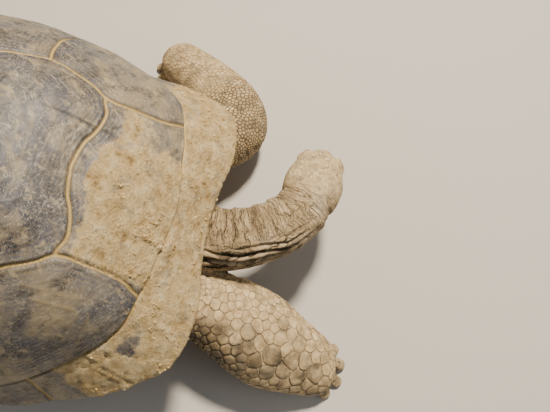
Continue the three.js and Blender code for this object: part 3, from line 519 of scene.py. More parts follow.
shell = {
    "halfLength": 530,
    "halfWidth": 361,
    "top": 497,
    "squareness": 2.3,  # of the outline in plan: 2 is an ellipse
    "crown": 2.3,  # of the dome's profile: higher is flatter on top
    "taper": 0.035,  # wider behind
    "domeShare": 0.8,  # share of rho that the dome takes; the marginals take the rest
    "wall": 17,
    "lift": 4.5,  # how far the scutes stand above the core
    "boss": 4.2,  # extra height in the middle of a scute
    "groove": 2.6,  # half width of a seam
    "seamWander": 2.0,  # how far a seam strays from its smooth path, in bends of 24 mm
    "ringSpacing": 7,
    # rows of [degrees round from the front, value]: the reaches are shares of the plain outline's, and the
    # fullness is how far the dome bulges
    "rimReach": [
        *([0, 0.88], [9, 0.905], [19, 0.99], [28, 1.04], [50, 1]),
        *([90, 1], [130, 1], [150, 1.02], [180, 1]),
    ],
    "rimHeight": [
        *([0, 262], [20, 255], [35, 215], [55, 150], [80, 115]),
        *([100, 110], [125, 130], [150, 155], [170, 130], [180, 115]),
    ],
    "seamReach": [
        *([0, 0.912], [20, 0.835], [35, 0.86], [55, 0.93], [80, 0.94]),
        *([100, 0.94], [130, 0.93], [150, 0.9], [180, 0.91]),
    ],
    "seamHeight": [
        *([0, 335], [20, 325], [35, 285], [55, 235], [80, 200]),
        *([100, 195], [130, 215], [150, 235], [180, 230]),
    ],
    "fullness": [[0, 1.05], [25, 1.15], [60, 1.5], [90, 1.68], [130, 1.65], [180, 1.5]],
}
# seams of the left half, in plan; a single number is a bearing on the seam above the marginals
spineSeam = [
    *(20.5, (136, -370), (131, -340), (129, -312), (132, -285), (147, -257), (163, -222), (172, -187)),
    *((167, -150), (156, -118), (137, -92), (155, -50), (168, 0), (152, 50), (130, 92), (145, 130)),
    *((152, 170), (128, 215), (98, 255), (110, 320), 162),
]
vertebralSeams = [
    [(0, -277), (35, -281), (66, -291), (100, -297), (132, -285)],
    [(0, -80), (50, -84), (100, -97), (137, -92)],
    [(0, 84), (65, 86), (130, 92)],
    [(0, 243), (50, 246), (98, 255)],
]
costalSeams = [
    [(172, -187), (210, -176), (250, -171), 59],
    [(168, 0), (235, -4), 89],
    [(152, 170), (205, 196), 120],
]
marginalSeams = [  # bearings at the dome and at the rim
    *((3.5, 3.5), (12, 10.5), (21.5, 18.5), (37, 33.5), (51, 50), (65, 65)),
    *((79, 79), (93, 93), (107, 107), (121, 121), (136, 136), (151, 151), (166, 166)),
]
# scratches scored into the horn, and old growth lines that still show: plan points in mm
scratches = [
    [(78, -217), (76, -251), (73, -285), (72, -306), (63, -328)],
    [(81, -311), (96, -325), (123, -335)],
    [(-60, -118), (-92, -150), (-118, -196)],
]
growthLines = [
    [(-190, -262), (-190, -294), (-191, -321), (-209, -314), (-233, -302)],
    [(-176, -250), (-175, -300), (-178, -336), (-214, -330), (-246, -312)],
    [(72, -150), (68, -175), (51, -192), (12, -197), (-38, -198), (-58, -198)],
    [(84, -136), (80, -172), (58, -206), (14, -213), (-44, -214), (-70, -208)],
]


def signedDegrees(alpha):  # degrees round from the front, 180 at most, the animal's left positive
    return (np.degrees(alpha) + 180) % 360 - 180


def around(alpha, rows):  # the same on both sides
    return curve(rows, np.abs(signedDegrees(alpha)))


def rimReach(alpha):
    half = shell["halfWidth"] * (1 - shell["taper"] * np.cos(alpha))
    n = shell["squareness"]
    plain = (np.abs(np.sin(alpha) / half) ** n + np.abs(np.cos(alpha) / shell["halfLength"]) ** n) ** (-1 / n)
    return plain * around(alpha, shell["rimReach"])


def seamReach(alpha):
    return rimReach(alpha) * around(alpha, shell["seamReach"])


def onBearing(alpha, reach, height):
    return np.stack(np.broadcast_arrays(reach * np.sin(alpha), -reach * np.cos(alpha), height), axis=-1)


def shellPoint(alpha, rho):  # rho is 0 at the crown and 1 at the rim
    alpha, rho = np.broadcast_arrays(np.asarray(alpha, float), np.asarray(rho, float))
    share = shell["domeShare"]
    seamZ = around(alpha, shell["seamHeight"])
    h = np.sin(np.clip(rho / share, 0, 1) * np.pi / 2)
    rise = np.maximum(0, 1 - h ** shell["crown"]) ** (1 / around(alpha, shell["fullness"]))
    s = np.clip((rho - share) / (1 - share), 0, 1)
    onDome = rho <= share
    reach = np.where(onDome, h * seamReach(alpha), mixed(seamReach(alpha), rimReach(alpha), s))
    rimZ = mixed(seamZ, around(alpha, shell["rimHeight"]), s)
    height = np.where(onDome, mixed(seamZ, shell["top"], rise), rimZ)
    return onBearing(alpha, reach, height)


def rhoOfPlan(x, y):
    alpha = np.arctan2(x, -y)
    return alpha, np.arcsin(np.minimum(1, np.hypot(x, y) / seamReach(alpha))) * 2 / np.pi * shell["domeShare"]


def planOf(corner):
    if isinstance(corner, tuple):
        return np.array(corner, float)
    alpha = math.radians(corner)
    return onBearing(alpha, seamReach(alpha), 0)[:2]


def smoothPath(corners):  # a Catmull-Rom line through plan corners, with a point about every mm
    p = np.array([planOf(c) for c in corners])
    p = np.vstack([2 * p[0] - p[1], p, 2 * p[-1] - p[-2]])
    line = []
    for a, b, c, d in zip(p, p[1:], p[2:], p[3:]):
        t = np.linspace(0, 1, max(2, int(np.linalg.norm(c - b))), endpoint=False)[:, None]
        line.append(b + 0.5 * t * (c - a + t * (2 * a - 5 * b + 4 * c - d + t * (3 * (b - c) + d - a))))
    return np.vstack([*line, p[-2][None]])


def onShell(path):  # plan points raised to the dome
    return shellPoint(*rhoOfPlan(*np.asarray(path).T))


def seamLines():  # points about 1 mm apart along every seam, on the shell's surface
    lines, share = [], shell["domeShare"]
    for corners in [spineSeam, *vertebralSeams, *costalSeams]:
        path = smoothPath(corners)
        flat = np.column_stack([path, np.zeros(len(path))])
        wander = np.column_stack([noise(flat, 24, 5, 2), noise(flat, 24, 9, 2)]) * shell["seamWander"]
        ends = smoothStep(0, 12, np.minimum(np.arange(len(path)), np.arange(len(path))[::-1]))[:, None]
        lines += [onShell((path + wander * ends) * (side, 1)) for side in (1, -1)]
    ring = np.radians(np.arange(0, 360, 0.2))
    lines.append(shellPoint(ring, share))
    s = np.linspace(0, 1, 90)
    for inner, outer in marginalSeams:
        for side in (1, -1):
            lines.append(shellPoint(np.radians(mixed(inner, outer, s) * side), mixed(share, 1, s)))
    return np.vstack(lines)


def pointTree(points):  # finds the nearest of many points
    tree = KDTree(len(points))
    for i, p in enumerate(points):
        tree.insert(p, i)
    tree.balance()
    return tree


def distanceTo(samples, points):  # from each point to the nearest sample
    tree = pointTree(samples)
    return np.array([tree.find(p)[2] for p in points.reshape(-1, 3)]).reshape(points.shape[:-1])


def scuteNumber(alpha, rho, points):  # 0 to 4 on the spine, 5 to 12 beside it, 20 and more on the rim
    x, y = np.abs(points[..., 0]), points[..., 1]
    spine = smoothPath(spineSeam)
    inSpine = x < np.interp(y, spine[:, 1], spine[:, 0])
    row, column = (
        sum((y > np.interp(x, *smoothPath(seam).T)).astype(int) for seam in seams)
        for seams in (vertebralSeams, costalSeams)
    )
    side = np.where(points[..., 0] > 0, 0, 4)
    s = np.clip((rho - shell["domeShare"]) / (1 - shell["domeShare"]), 0, 1)
    degrees = signedDegrees(alpha)
    edge = sum((np.abs(degrees) > mixed(a, b, s)).astype(int) for a, b in marginalSeams)
    marginal = 20 + np.where((edge > 0) & (edge < len(marginalSeams)) & (degrees < 0), 20, 0) + edge
    return np.where(rho > shell["domeShare"], marginal, np.where(inSpine, row, 5 + column + side))


# where dried mud lies, from none to all of it: x and y in mm, degrees round from the front, the left
# positive, and rho, which is 0 at the crown and 1 at the rim
mudPlaces = {
    "front": {"y": (-270, -335), "x": (150, 120)},
    "left": {"x": (0, 90), "share": 0.46},  # thinner on the left of the front
    "lowRight": {"rho": (0.7, 0.79), "degrees": ((-18, -30), (-54, -38)), "share": 0.5},
    "rim": {"rho": (0.79, 0.81), "right": (-52, -36), "left": (52, 30), "leftShare": 0.82},
    "rimPatch": {"rho": (0.9, 0.99), "degrees": (-30, -44), "share": 0.25},
    # a leaning oval without mud: its middle, lean, half sizes and ragged edge
    "bare": {"degrees": -27, "rho": (0.84, 0.846), "lean": 60, "half": (4.6, 0.05), "ragged": 0.6},
    "blotches": (0.55, 55),  # how uneven it lies, in lumps of 55 mm
}
hornRelief = {  # heights, depths, widths and distances from the seam in mm
    "rimLower": 0.5,
    "rimBoss": 1.5,
    "bossReach": 38,
    "grooveFill": 0.4,  # young horn half fills the groove between two scutes
    "welt": (1.1, 6.5, 3),  # a low welt of young horn beside the seam: height, distance, width
    "ringDepth": 0.5,
    "ringReach": 60,
    "steps": (27, 52, 84),  # old growth steps, a ledge all round the scute
    "stepHeight": 0.7,
    "scratch": (0.9, 1.8),  # depth and half width
    "growthLine": (-0.8, 2.6),  # stands proud
    "swell": (1.6, 75),  # height and size of its lumps
    "grain": (0.28, 9),
}
mudRelief = {  # heights in mm, with the size of the lumps
    "ragged": (0.16, 15),
    "base": 1.0,
    "lumps": (1.7, 13),
    "clods": (3.2, 30),
    "ledge": (2.2, 22),  # a thick crust on the right of the rim
    "pits": (2.0, 8),
    "cracks": (1.6, 60),
    "limits": (-0.6, 5.5),
}


def uneven(points, heightAndSize, seed, octaves=3):  # a noise of that height, with lumps of that size
    height, size = heightAndSize
    return height * noise(points, size, seed, octaves)


def mudCover(alpha, rho, points):  # how much dried mud lies where, 0 to 1
    x, y = points[..., 0], points[..., 1]
    degrees = signedDegrees(alpha)
    onRight = degrees < 0
    front, left, low, rim, patch, bare = (
        mudPlaces[name] for name in ("front", "left", "lowRight", "rim", "rimPatch", "bare")
    )
    onFront = smoothStep(*front["y"], y) * smoothStep(*front["x"], np.abs(x))
    onFront *= mixed(1.0, left["share"], smoothStep(*left["x"], x))
    lowRight = low["share"] * smoothStep(*low["rho"], rho)
    for limits in low["degrees"]:
        lowRight = lowRight * smoothStep(*limits, degrees)
    reachBack = np.where(onRight, smoothStep(*rim["right"], degrees), smoothStep(*rim["left"], degrees))
    onRim = smoothStep(*rim["rho"], rho) * reachBack * np.where(onRight, 1.0, rim["leftShare"])
    along = np.abs(degrees - bare["degrees"] + (rho - bare["rho"][0]) * bare["lean"]) / bare["half"][0]
    bareReach = along + np.abs(rho - bare["rho"][1]) / bare["half"][1]
    isBare = smoothStep(1.3, 0.7, bareReach + bare["ragged"] * noise(points, 16, 23))
    rimPatch = patch["share"] * smoothStep(*patch["degrees"], degrees) * smoothStep(*patch["rho"], rho)
    cover = np.maximum.reduce([onFront, lowRight, onRim - rimPatch]) * (1 - 0.4 * isBare)
    return np.clip(cover * (0.9 + uneven(points, mudPlaces["blotches"], 21, 4)), 0, 1)


def mudHeight(degrees, rho, points, thick, clods):  # a crust of lumps and clods, with pits and cracks in it
    ledge = smoothStep(-20, -28, degrees) * smoothStep(-54, -44, degrees) * smoothStep(0.84, 0.89, rho)
    crust = mudRelief["base"] + uneven(points, mudRelief["lumps"], 53, 4)
    crust = crust + mudRelief["clods"][0] * smoothStep(0.15, 0.5, clods)
    crust += ledge * (mudRelief["ledge"][0] + uneven(points, mudRelief["ledge"], 67))
    depth, size = mudRelief["pits"]
    pits = depth * smoothStep(0.3, 0.6, noise(points, size, 59, 3))
    depth, size = mudRelief["cracks"]
    cracks = creases(noise(points, size, 61, 3) * 2.2, 0.05) * smoothStep(0.1, 0.5, noise(points, 50, 63, 2))
    crust = crust - pits - depth * cracks * smoothStep(0.75, 0.95, thick)
    return thick * np.clip(crust, *mudRelief["limits"])


def shellRelief(alpha, rho, points):  # height above the core, and what the material needs to know
    gap = distanceTo(seamLines(), points)
    number = scuteNumber(alpha, rho, points)
    mud = mudCover(alpha, rho, points)
    degrees = signedDegrees(alpha)
    thick = smoothStep(0.32, 0.66, mud + uneven(points, mudRelief["ragged"], 51, 4))
    filled = 0.85 * thick * smoothStep(0.79, 0.83, rho)  # mud hides the marginals' seams
    onRim = rho > shell["domeShare"]
    lift = np.where(onRim, shell["lift"] - hornRelief["rimLower"], shell["lift"])
    boss = np.where(onRim, hornRelief["rimBoss"], shell["boss"])
    boss = boss * (1 - np.exp(-gap / hornRelief["bossReach"]))
    part = hornRelief["grooveFill"]
    raised = part + (1 - part) * smoothStep(shell["groove"] * 0.4, shell["groove"] * 2.2, gap)
    height = lift * mixed(raised, 1, filled) + boss
    high, place, wide = hornRelief["welt"]
    height += high * np.exp(-(((gap - place) / wide) ** 2))
    warp = noise(points, 42, 31)
    patchy = np.clip(0.6 + 0.7 * noise(points, 90, 37, 2), 0, 1)  # the rings are worn away here and there
    strength = np.exp(-gap / hornRelief["ringReach"]) * patchy * smoothStep(4, 9, gap)
    ring = creases(gap / shell["ringSpacing"] + 0.9 * warp, 0.2) * strength
    height -= hornRelief["ringDepth"] * ring
    for distance in hornRelief["steps"]:
        step = smoothStep(distance - 2, distance + 2, gap + 3 * warp)
        height += hornRelief["stepHeight"] * step * (1 - filled)
    broken = smoothStep(-0.5, -0.1, noise(points, 26, 47, 2))
    marks = []
    for lines, key in ((scratches, "scratch"), (growthLines, "growthLine")):
        depth, wide = hornRelief[key]
        near = distanceTo(np.vstack([onShell(smoothPath(line)) for line in lines]), points)
        marks.append(np.exp(-(((near + 2.5 * warp) / wide) ** 2)) * broken)
        height -= depth * marks[-1]
    height += uneven(points, hornRelief["swell"], 41) * smoothStep(6, 40, gap)
    height += uneven(points, hornRelief["grain"], 43)
    clods = noise(points, mudRelief["clods"][1], 57, 4)
    height += mudHeight(degrees, rho, points, thick, clods)
    chance = np.array([random.Random(n).random() for n in range(100)])  # one for each scute
    crumbly = 0.05 * thick + (smoothStep(0.05, 0.5, clods) * thick) ** 2
    facts = {"seamGap": gap, "mud": mud, "growthRing": np.maximum(ring, 0.5 * marks[1])}
    facts["scratch"] = marks[0] * (1 - thick)
    facts["scuteTint"] = chance[number]
    facts["crumbChance"] = crumbly * mixed(0.15, 1, smoothStep(-34, -20, degrees))  # few on the low right
    return height, number, facts


def pieceOf(name, points, faces, facts, material, caps=()):  # the vertices that faces use, as one object
    used, index = np.unique(faces, return_inverse=True)
    closed = [np.searchsorted(used, cap).tolist() for cap in caps]
    made = meshObject(name, points[used], [*index.reshape(faces.shape).tolist(), *closed], material)
    for key, values in facts.items():
        setAttribute(made, key, values.ravel()[used])
    return made


# degrees between the mesh's columns at the front and at the back, and its rows; below, the rim's bulges
# between two seams, in mm
shellMesh = {"columns": (0.45, 1.25), "quickColumns": (0.9, 2.5), "rows": 190, "quickRows": 96, "rimRows": 30}
scallops = {"front": 1.2, "side": 3.2, "degrees": (35, 60), "reach": 0.075}


def dressedDome(alpha, material):  # the vertebral and the costal scutes, and the dome's lowest row of points
    rho = np.linspace(0.004, shell["domeShare"], shellMesh["rows"])[:, None]
    core = shellPoint(alpha, rho)
    height, number, facts = shellRelief(*np.broadcast_arrays(alpha, rho), core)
    points = core + gridNormals(core) * height[..., None]
    points[..., 2] = np.minimum(points[..., 2], frameBox[1][2] / mm)  # no higher than the solids
    faces = gridFaces(*height.shape)
    onSpine = number.ravel()[faces].min(axis=1) < 5
    flat, crown = points.reshape(-1, 3), [np.arange(points.shape[1])]
    vertebral = pieceOf("vertebralScutes", flat, faces[onSpine], facts, material, crown)
    costal = pieceOf("costalScutes", flat, faces[~onSpine], facts, material)
    return vertebral, costal, points[-1]


def turnedUnder(alpha, edge, normal, along):  # rows for the rim's rounded lip and its under side
    thick = shell["wall"] + 3
    rows = []
    for turn in np.radians([30, 60, 90, 120, 150, 180]):
        drop = normal * (thick / 2 * (np.cos(turn) - 1)) + along * (thick / 2 * np.sin(turn)) * 0.7
        rows.append((edge + drop)[None])
    for rho in (0.97, 0.93, 0.88, 0.82, 0.74, 0.64):  # out of sight under the dome
        under = shellPoint(alpha, np.array([[rho]]))
        spread = np.concatenate([under, shellPoint(alpha, np.array([[rho - 0.02]]))])
        rows.append(under + gridNormals(spread)[:1] * thick)
    return rows


def dressedRim(alpha, degrees, border, material):  # the marginal scutes, which start at the dome's border
    rho = np.linspace(shell["domeShare"], 1, shellMesh["rimRows"])[:, None]
    core = shellPoint(alpha, rho)
    height, _, facts = shellRelief(*np.broadcast_arrays(alpha, rho), core)
    normal, along = gridNormals(core), unit(core[-1] - core[-2])
    seam = np.radians([b for pair in marginalSeams for b in (pair[1], -pair[1])])
    near = np.min(np.abs((alpha[0][:, None] - seam[None] + np.pi) % (2 * np.pi) - np.pi), axis=1)
    toSide = smoothStep(*scallops["degrees"], np.abs((degrees + 180) % 360 - 180))
    bulge = mixed(scallops["front"], scallops["side"], toSide)
    scallop = bulge * smoothStep(0, scallops["reach"], near) - scallops["front"]
    points = core + normal * height[..., None]
    points += along[None] * (scallop[None] * smoothStep(0.88, 1, rho))[..., None]
    points[0] = border
    points = np.concatenate([points, *turnedUnder(alpha, points[-1], normal[-1], along)])
    extra = len(points) - len(rho)
    facts = {k: np.concatenate([v, np.repeat(v[-1:], extra, axis=0)]) for k, v in facts.items()}
    return pieceOf("marginalScutes", points.reshape(-1, 3), gridFaces(*points.shape[:2]), facts, material)


def buildShell(material):
    fine, coarse = shellMesh["columns"]
    degrees = np.concatenate([np.arange(-110, 110, fine), np.arange(110, 250, coarse)])
    alpha = np.radians(degrees)[None, :]
    vertebral, costal, border = dressedDome(alpha, material)
    return [vertebral, costal, dressedRim(alpha, degrees, border, material)]


shellPieces = buildShell(wornShellHorn())
for piece in shellPieces:
    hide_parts("carapace")
    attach(piece, "root")
print("shell built")


plastron = {
    "thick": 20,
    "plate": 1.5,  # height of the horn that its plates touch the floor below
    "seam": 2,
    "lobeTop": 38,
    "lobeFoot": 16,  # where the lobes' edge turns upright
    "turnIn": 55,  # width of the turn from the floor to the edge
    "bridge": ((38, 62), (112, 140)),  # degrees from the front where it begins and ends
    "bridgeFlat": 240,
    "bridgeTop": 4.6,  # below the carapace's rim
    "bridgeFoot": 22,  # below its own top
    "marks": (1.1, 1.6, 0.8),  # depth of the growth rings, the seams and the uneven horn
    "lobe": [
        *([0, 425], [12, 432], [22, 402], [32, 348], [44, 318]),
        *([90, 320], [134, 330], [150, 392], [165, 412], [180, 392]),
    ],
    # pairs of plates that touch the floor: front y, back y, half widths there
    "pairs": [
        *((-372, -318, 118, 150), (-318, -232, 150, 205), (-232, -160, 205, 226)),
        *((90, 215, 226, 200), (215, 325, 196, 118)),
    ],
    "middle": (-160, 90, 232),  # worn to one plate: front y, back y, half width
}


def plastronRows(alpha, degrees):  # reach and height, from the middle of the floor out, up and back inside
    (low, high), (highBack, lowBack) = plastron["bridge"]
    bridge = smoothStep(low, high, degrees) * (1 - smoothStep(highBack, lowBack, degrees))
    edge = mixed(around(alpha, plastron["lobe"]), rimReach(alpha) - 3, bridge)
    top = mixed(plastron["lobeTop"], around(alpha, shell["rimHeight"]) - plastron["bridgeTop"], bridge)
    foot = mixed(plastron["lobeFoot"], top - plastron["bridgeFoot"], bridge)
    flat = mixed(edge - plastron["turnIn"], plastron["bridgeFlat"], bridge)
    low, thick = plastron["plate"], plastron["thick"]
    rows = [(flat * t, np.full_like(flat, low)) for t in (0.002, 0.3, 0.6, 0.85)]
    for t in np.linspace(0, np.pi / 2, 26):
        rows.append((flat + (edge - flat) * np.sin(t), low + (foot - low) * (1 - np.cos(t))))
    rows += [(edge, mixed(foot, top - 2, t)) for t in (0.35, 0.7, 1)]
    rows += [(edge - 1, top - 0.6), (edge - 2.5, top)]
    for t in np.linspace(np.pi / 2, 0, 12):
        rows.append((flat - 8 + (edge - 6 - flat) * np.sin(t), thick + (top - thick) * (1 - np.cos(t))))
    rows += [(flat * t, np.full_like(flat, thick)) for t in (0.7, 0.3, 0.002)]
    return np.array([onBearing(alpha, r, z) for r, z in rows]), edge


def plateOutlines():  # the plates that touch the floor, in plan
    seam = plastron["seam"]
    front, back, half = plastron["middle"]
    plates = [[(-half, front + seam), (half, front + seam), (half, back - seam), (-half, back - seam)]]
    for front, back, frontHalf, backHalf in plastron["pairs"]:
        for side in (1, -1):
            ahead = [(side * seam, front + seam), (side * frontHalf, front + seam)]
            plates.append([*ahead, (side * backHalf, back - seam), (side * seam, back - seam)])
    return plates


def buildPlastron(material):
    alpha = np.radians(np.arange(0, 360, 1.5))
    degrees = np.abs(signedDegrees(alpha))
    points, edge = plastronRows(alpha, degrees)
    rows = len(points)
    groove = np.abs((degrees - 38 + 180) % 26 - 13) * edge * 0.0175  # mm from the seams on the bridge
    show = np.zeros(rows)
    show[8:30] = smoothStep(0, 5, np.arange(22))
    ring = creases(np.arange(rows)[:, None] * 0.36 + noise(points, 60, 71, 2) * 0.7, 0.2)
    ringDepth, seamDepth, rough = plastron["marks"]
    seams = seamDepth * np.exp(-((groove / 3) ** 2))
    depth = ringDepth * ring + seams[None] + rough * noise(points, 24, 73)
    points -= gridNormals(points) * (np.clip(depth, 0, 4) * show[:, None])[..., None]
    ends = [list(range(points.shape[1])), list(range(points[:-1, :, 0].size, points[..., 0].size))]
    parts = [(points.reshape(-1, 3), gridFaces(*points.shape[:2])[:, ::-1].tolist() + ends)]
    box = [(3, 2, 1, 0), (4, 5, 6, 7), *[(k, (k + 1) % 4, (k + 1) % 4 + 4, k + 4) for k in range(4)]]
    parts += [([(x, y, z) for z in (0, 8) for x, y in plate], box) for plate in plateOutlines()]
    piece = meshObject("plastronHornPlates", *together(parts), material)
    orderFaces(piece)
    return piece


plastronPiece = buildPlastron(rubbedBellyHorn())
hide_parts("plastron")
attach(plastronPiece, "root")
print("plastron built")


# stations of each limb: middle x, y, z, half width and half thickness
hind = [
    *((130, 240, 120, 62, 55), (190, 300, 105, 66, 56), (245, 352, 92, 66, 55), (285, 405, 72, 60, 52)),
    *((306, 452, 46, 56, 48), (318, 486, 24, 50, 36), (324, 506, 14, 36, 22)),
]
limbs = {
    "forelegRight": [
        *((-120, -300, 130, 58, 62), (-106, -400, 134, 62, 62), (-102, -470, 130, 67, 60)),
        *((-122, -545, 112, 80, 58), (-144, -606, 84, 83, 53), (-156, -660, 55, 70, 47)),
        *((-162, -702, 35, 58, 40), (-163, -731, 20, 46, 26)),
    ],
    "forelegLeft": [
        *((160, -280, 130, 56, 60), (196, -360, 130, 60, 60), (236, -424, 116, 62, 60)),
        *((284, -456, 94, 62, 58), (338, -434, 76, 61, 56), (384, -376, 64, 59, 54)),
        *((424, -322, 50, 52, 48), (450, -286, 40, 45, 43), (466, -264, 30, 29, 28)),
    ],
    "hindlegRight": [(-x, y, z, wide, thick) for x, y, z, wide, thick in hind],
    "hindlegLeft": hind,
    "tail": [
        *((0, 330, 100, 52, 46), (4, 400, 84, 42, 36), (10, 455, 58, 30, 26)),
        *((18, 500, 32, 20, 17), (24, 530, 16, 11, 10)),
    ],
    "neck": [
        *((0, -280, 160, 62, 58), (0, -370, 174, 62, 60), (3, -450, 186, 60, 58), (12, -515, 194, 56, 54)),
        *((36, -570, 198, 53, 50), (72, -612, 200, 52, 47), (112, -634, 196, 49, 42)),
    ],
}
limbNames = list(limbs)
limbSquareness = 2.4
limbRadius = 57  # a typical one, which turns degrees round a limb into mm
# claws of a foot: how many, degrees that the fan is turned and spread, its radius, length, the root's height
forefoot = {"count": 5, "turn": 0, "spread": 66, "radius": 50, "length": 19, "height": 14, "along": 0.84}
hindfoot = {"count": 4, "turn": 0, "spread": 56, "radius": 46, "length": 22, "height": 14, "along": 0.84}
feet = {
    "forelegRight": {**forefoot, "turn": -20},
    "forelegLeft": forefoot,
    "hindlegRight": hindfoot,
    "hindlegLeft": hindfoot,
}
head = {
    "place": (104, -631, 200),
    "turn": 83,  # degrees from straight ahead towards the animal's left
    "pitch": 20,  # degrees down
    "length": 142,
    "width": [[0, 50], [20, 55], [44, 57], [68, 53], [90, 45], [106, 35], [122, 24], [135, 15], [142, 7]],
    "roof": [[0, 34], [25, 38], [55, 39], [85, 37], [105, 32], [122, 24], [135, 14], [142, 4]],
    "jaw": [[0, 36], [25, 40], [50, 40], [80, 35], [105, 32], [125, 29], [137, 25], [142, 18]],
    "mouth": [[54, -24], [76, -19], [105, -16], [142, -15]],
    "eye": (94, 33.8, 12),  # along, to the side, up
    "eyeRadius": 12.5,
}
headSwellings = {  # on each side: middle along the head, to the side and up, and half sizes
    "brow": ((90, 31.5, 23), (26, 9, 8.5)),
    "eardrum": ((34, 51, -3), (17, 5.5, 17)),
    "jaw": ((54, 46, -18), (32, 8, 12)),
}
lidsBulge = (16.5, 13.8, 14.5)
torsoRound = 60  # how far the belly draws in at its foot
torsoBelly = [[0, 372], [25, 366], [55, 330], [90, 308], [125, 325], [155, 385], [180, 408]]


def limbAt(name, s):  # the limb's middle, its own directions and its size at s, 0 to 1 along it
    rows = np.array(limbs[name], float)
    rows = np.vstack([2 * rows[0] - rows[1], rows, 2 * rows[-1] - rows[-2], rows[-1]])
    last = len(limbs[name]) - 1

    def at(t):
        i = np.clip(np.floor(t).astype(int), 0, last - 1)
        f = (t - i)[..., None]
        a, b, c, d = (rows[i + k] for k in range(4))
        return b + 0.5 * f * (c - a + f * (2 * a - 5 * b + 4 * c - d + f * (3 * (b - c) + d - a)))

    t = np.clip(np.asarray(s, float), 0, 1) * last
    here = at(t)
    forward = unit(at(np.minimum(last, t + 0.05))[..., :3] - at(np.maximum(0, t - 0.05))[..., :3])
    side = unit(np.cross(forward, (0, 0, 1)))
    return here[..., :3], forward, side, np.cross(side, forward), here[..., 3], here[..., 4]


def bent(value, exponent):
    return np.sign(value) * np.abs(value) ** (2 / exponent)


def limbShape(name):
    s = np.linspace(0, 1, 70)
    theta = np.linspace(0, 2 * np.pi, 64, endpoint=False)
    middle, forward, side, lift, wide, thick = (v[:, None] for v in limbAt(name, s))
    c, h = (bent(wave(theta), limbSquareness)[None, :, None] for wave in (np.cos, np.sin))
    ring = middle + side * wide[..., None] * c + lift * thick[..., None] * h
    tip = []
    for t in (0.4, 0.7, 0.9, 1.0):  # the end is rounded off
        size = math.sqrt(1 - t * t) + 0.001
        tip.append(middle[-1] + forward[-1] * 7 * t + (ring[-1] - middle[-1]) * size)
    return np.concatenate([ring, np.array(tip)])


def closedTube(rings):  # points and faces of a tube with a flat cap on both ends
    rows, columns = rings.shape[:2]
    faces = [list(f) for f in gridFaces(rows, columns)]
    faces += [list(range(columns)), [(rows - 1) * columns + k for k in reversed(range(columns))]]
    return rings.reshape(-1, 3), faces


def ball(centre, radii, turn):
    polar = np.linspace(0.02, np.pi - 0.02, 14)[:, None]
    angle = np.linspace(0, 2 * np.pi, 24, endpoint=False)[None, :]
    x, y = np.sin(polar) * np.cos(angle), np.sin(polar) * np.sin(angle)
    local = np.stack(np.broadcast_arrays(x, y, np.cos(polar)), axis=-1) * np.array(radii)
    return closedTube(local @ np.array(turn) + np.array(centre))


headPitch = Matrix.Rotation(math.radians(head["pitch"]), 3, "Y")
headAxes = np.array(Matrix.Rotation(math.radians(head["turn"] - 90), 3, "Z") @ headPitch)


def fromHead(local):
    return np.asarray(local, float) @ headAxes.T + np.array(head["place"])


def toHead(points):
    return (points - np.array(head["place"])) @ headAxes


def headShape():
    snout = 14 * (1 - np.sin(np.linspace(0, np.pi / 2, 14)[1:]))
    along = np.concatenate([np.linspace(0, 128, 52), head["length"] - snout])
    theta = np.linspace(0, 2 * np.pi, 72, endpoint=False)[None, :]
    wide, roof, jaw = (curve(head[k], along)[:, None] for k in ("width", "roof", "jaw"))
    c, h = np.cos(theta), np.sin(theta)
    height = np.where(h > 0, roof * bent(h, 2.6), jaw * bent(h, 2.2))
    return fromHead(np.stack(np.broadcast_arrays(along[:, None], wide * bent(c, 2.5), height), axis=-1))


def clawPlaces(name):  # where each claw leaves the skin, its tip and the way it points
    foot = feet[name]
    middle, forward, *_ = limbAt(name, foot["along"])
    ahead = np.array([forward[0], forward[1], 0]) / math.hypot(forward[0], forward[1])
    side = np.cross(ahead, (0, 0, 1))
    places = []
    for i in range(foot["count"]):
        angle = math.radians(foot["turn"] + mixed(-foot["spread"], foot["spread"], i / (foot["count"] - 1)))
        way = ahead * math.cos(angle) + side * math.sin(angle)
        root = middle + way * foot["radius"]
        tip = root + way * foot["length"]
        rootPlace, tipPlace = [*root[:2], foot["height"]], [*tip[:2], foot["height"] * 0.55]
        places.append((np.array(rootPlace), np.array(tipPlace), way))
    return places


def torsoShape():
    alpha = np.radians(np.arange(0, 360, 7.5))
    top = []
    for rho in (0.6, 0.44, 0.24, 0.01):
        grid = shellPoint(alpha[None], np.array([[rho - 0.005], [rho + 0.005]]))
        top.append(grid.mean(axis=0) - gridNormals(grid)[0] * (shell["wall"] + 0.5))
    belly, foot = around(alpha, torsoBelly), 14
    reach = np.hypot(top[0][:, 0], top[0][:, 1])
    side = []
    for t in (0.67, 0.33):
        bulge = 2 * belly - (reach + belly - torsoRound) / 2
        out = (1 - t) ** 2 * reach + 2 * t * (1 - t) * bulge + t * t * (belly - torsoRound)
        side.append(onBearing(alpha, out, mixed(top[0][:, 2], foot, t)))
    base = [onBearing(alpha, (belly - torsoRound) * k, np.full_like(belly, foot + 8)) for k in (1.0, 0.02)]
    return np.array([*top[::-1], *side[::-1], *base])


def endWall(level):  # the body's wall beyond level, which is all that shows of it, with a flat end
    wall = torsoShape()
    flat = mixed(wall, np.array([0, 0, 150]), 0.5)
    flat[..., 1] = level
    inside = wall[..., 1] * np.sign(level) < abs(level)
    return closedTube(np.where(inside[..., None], flat, wall))


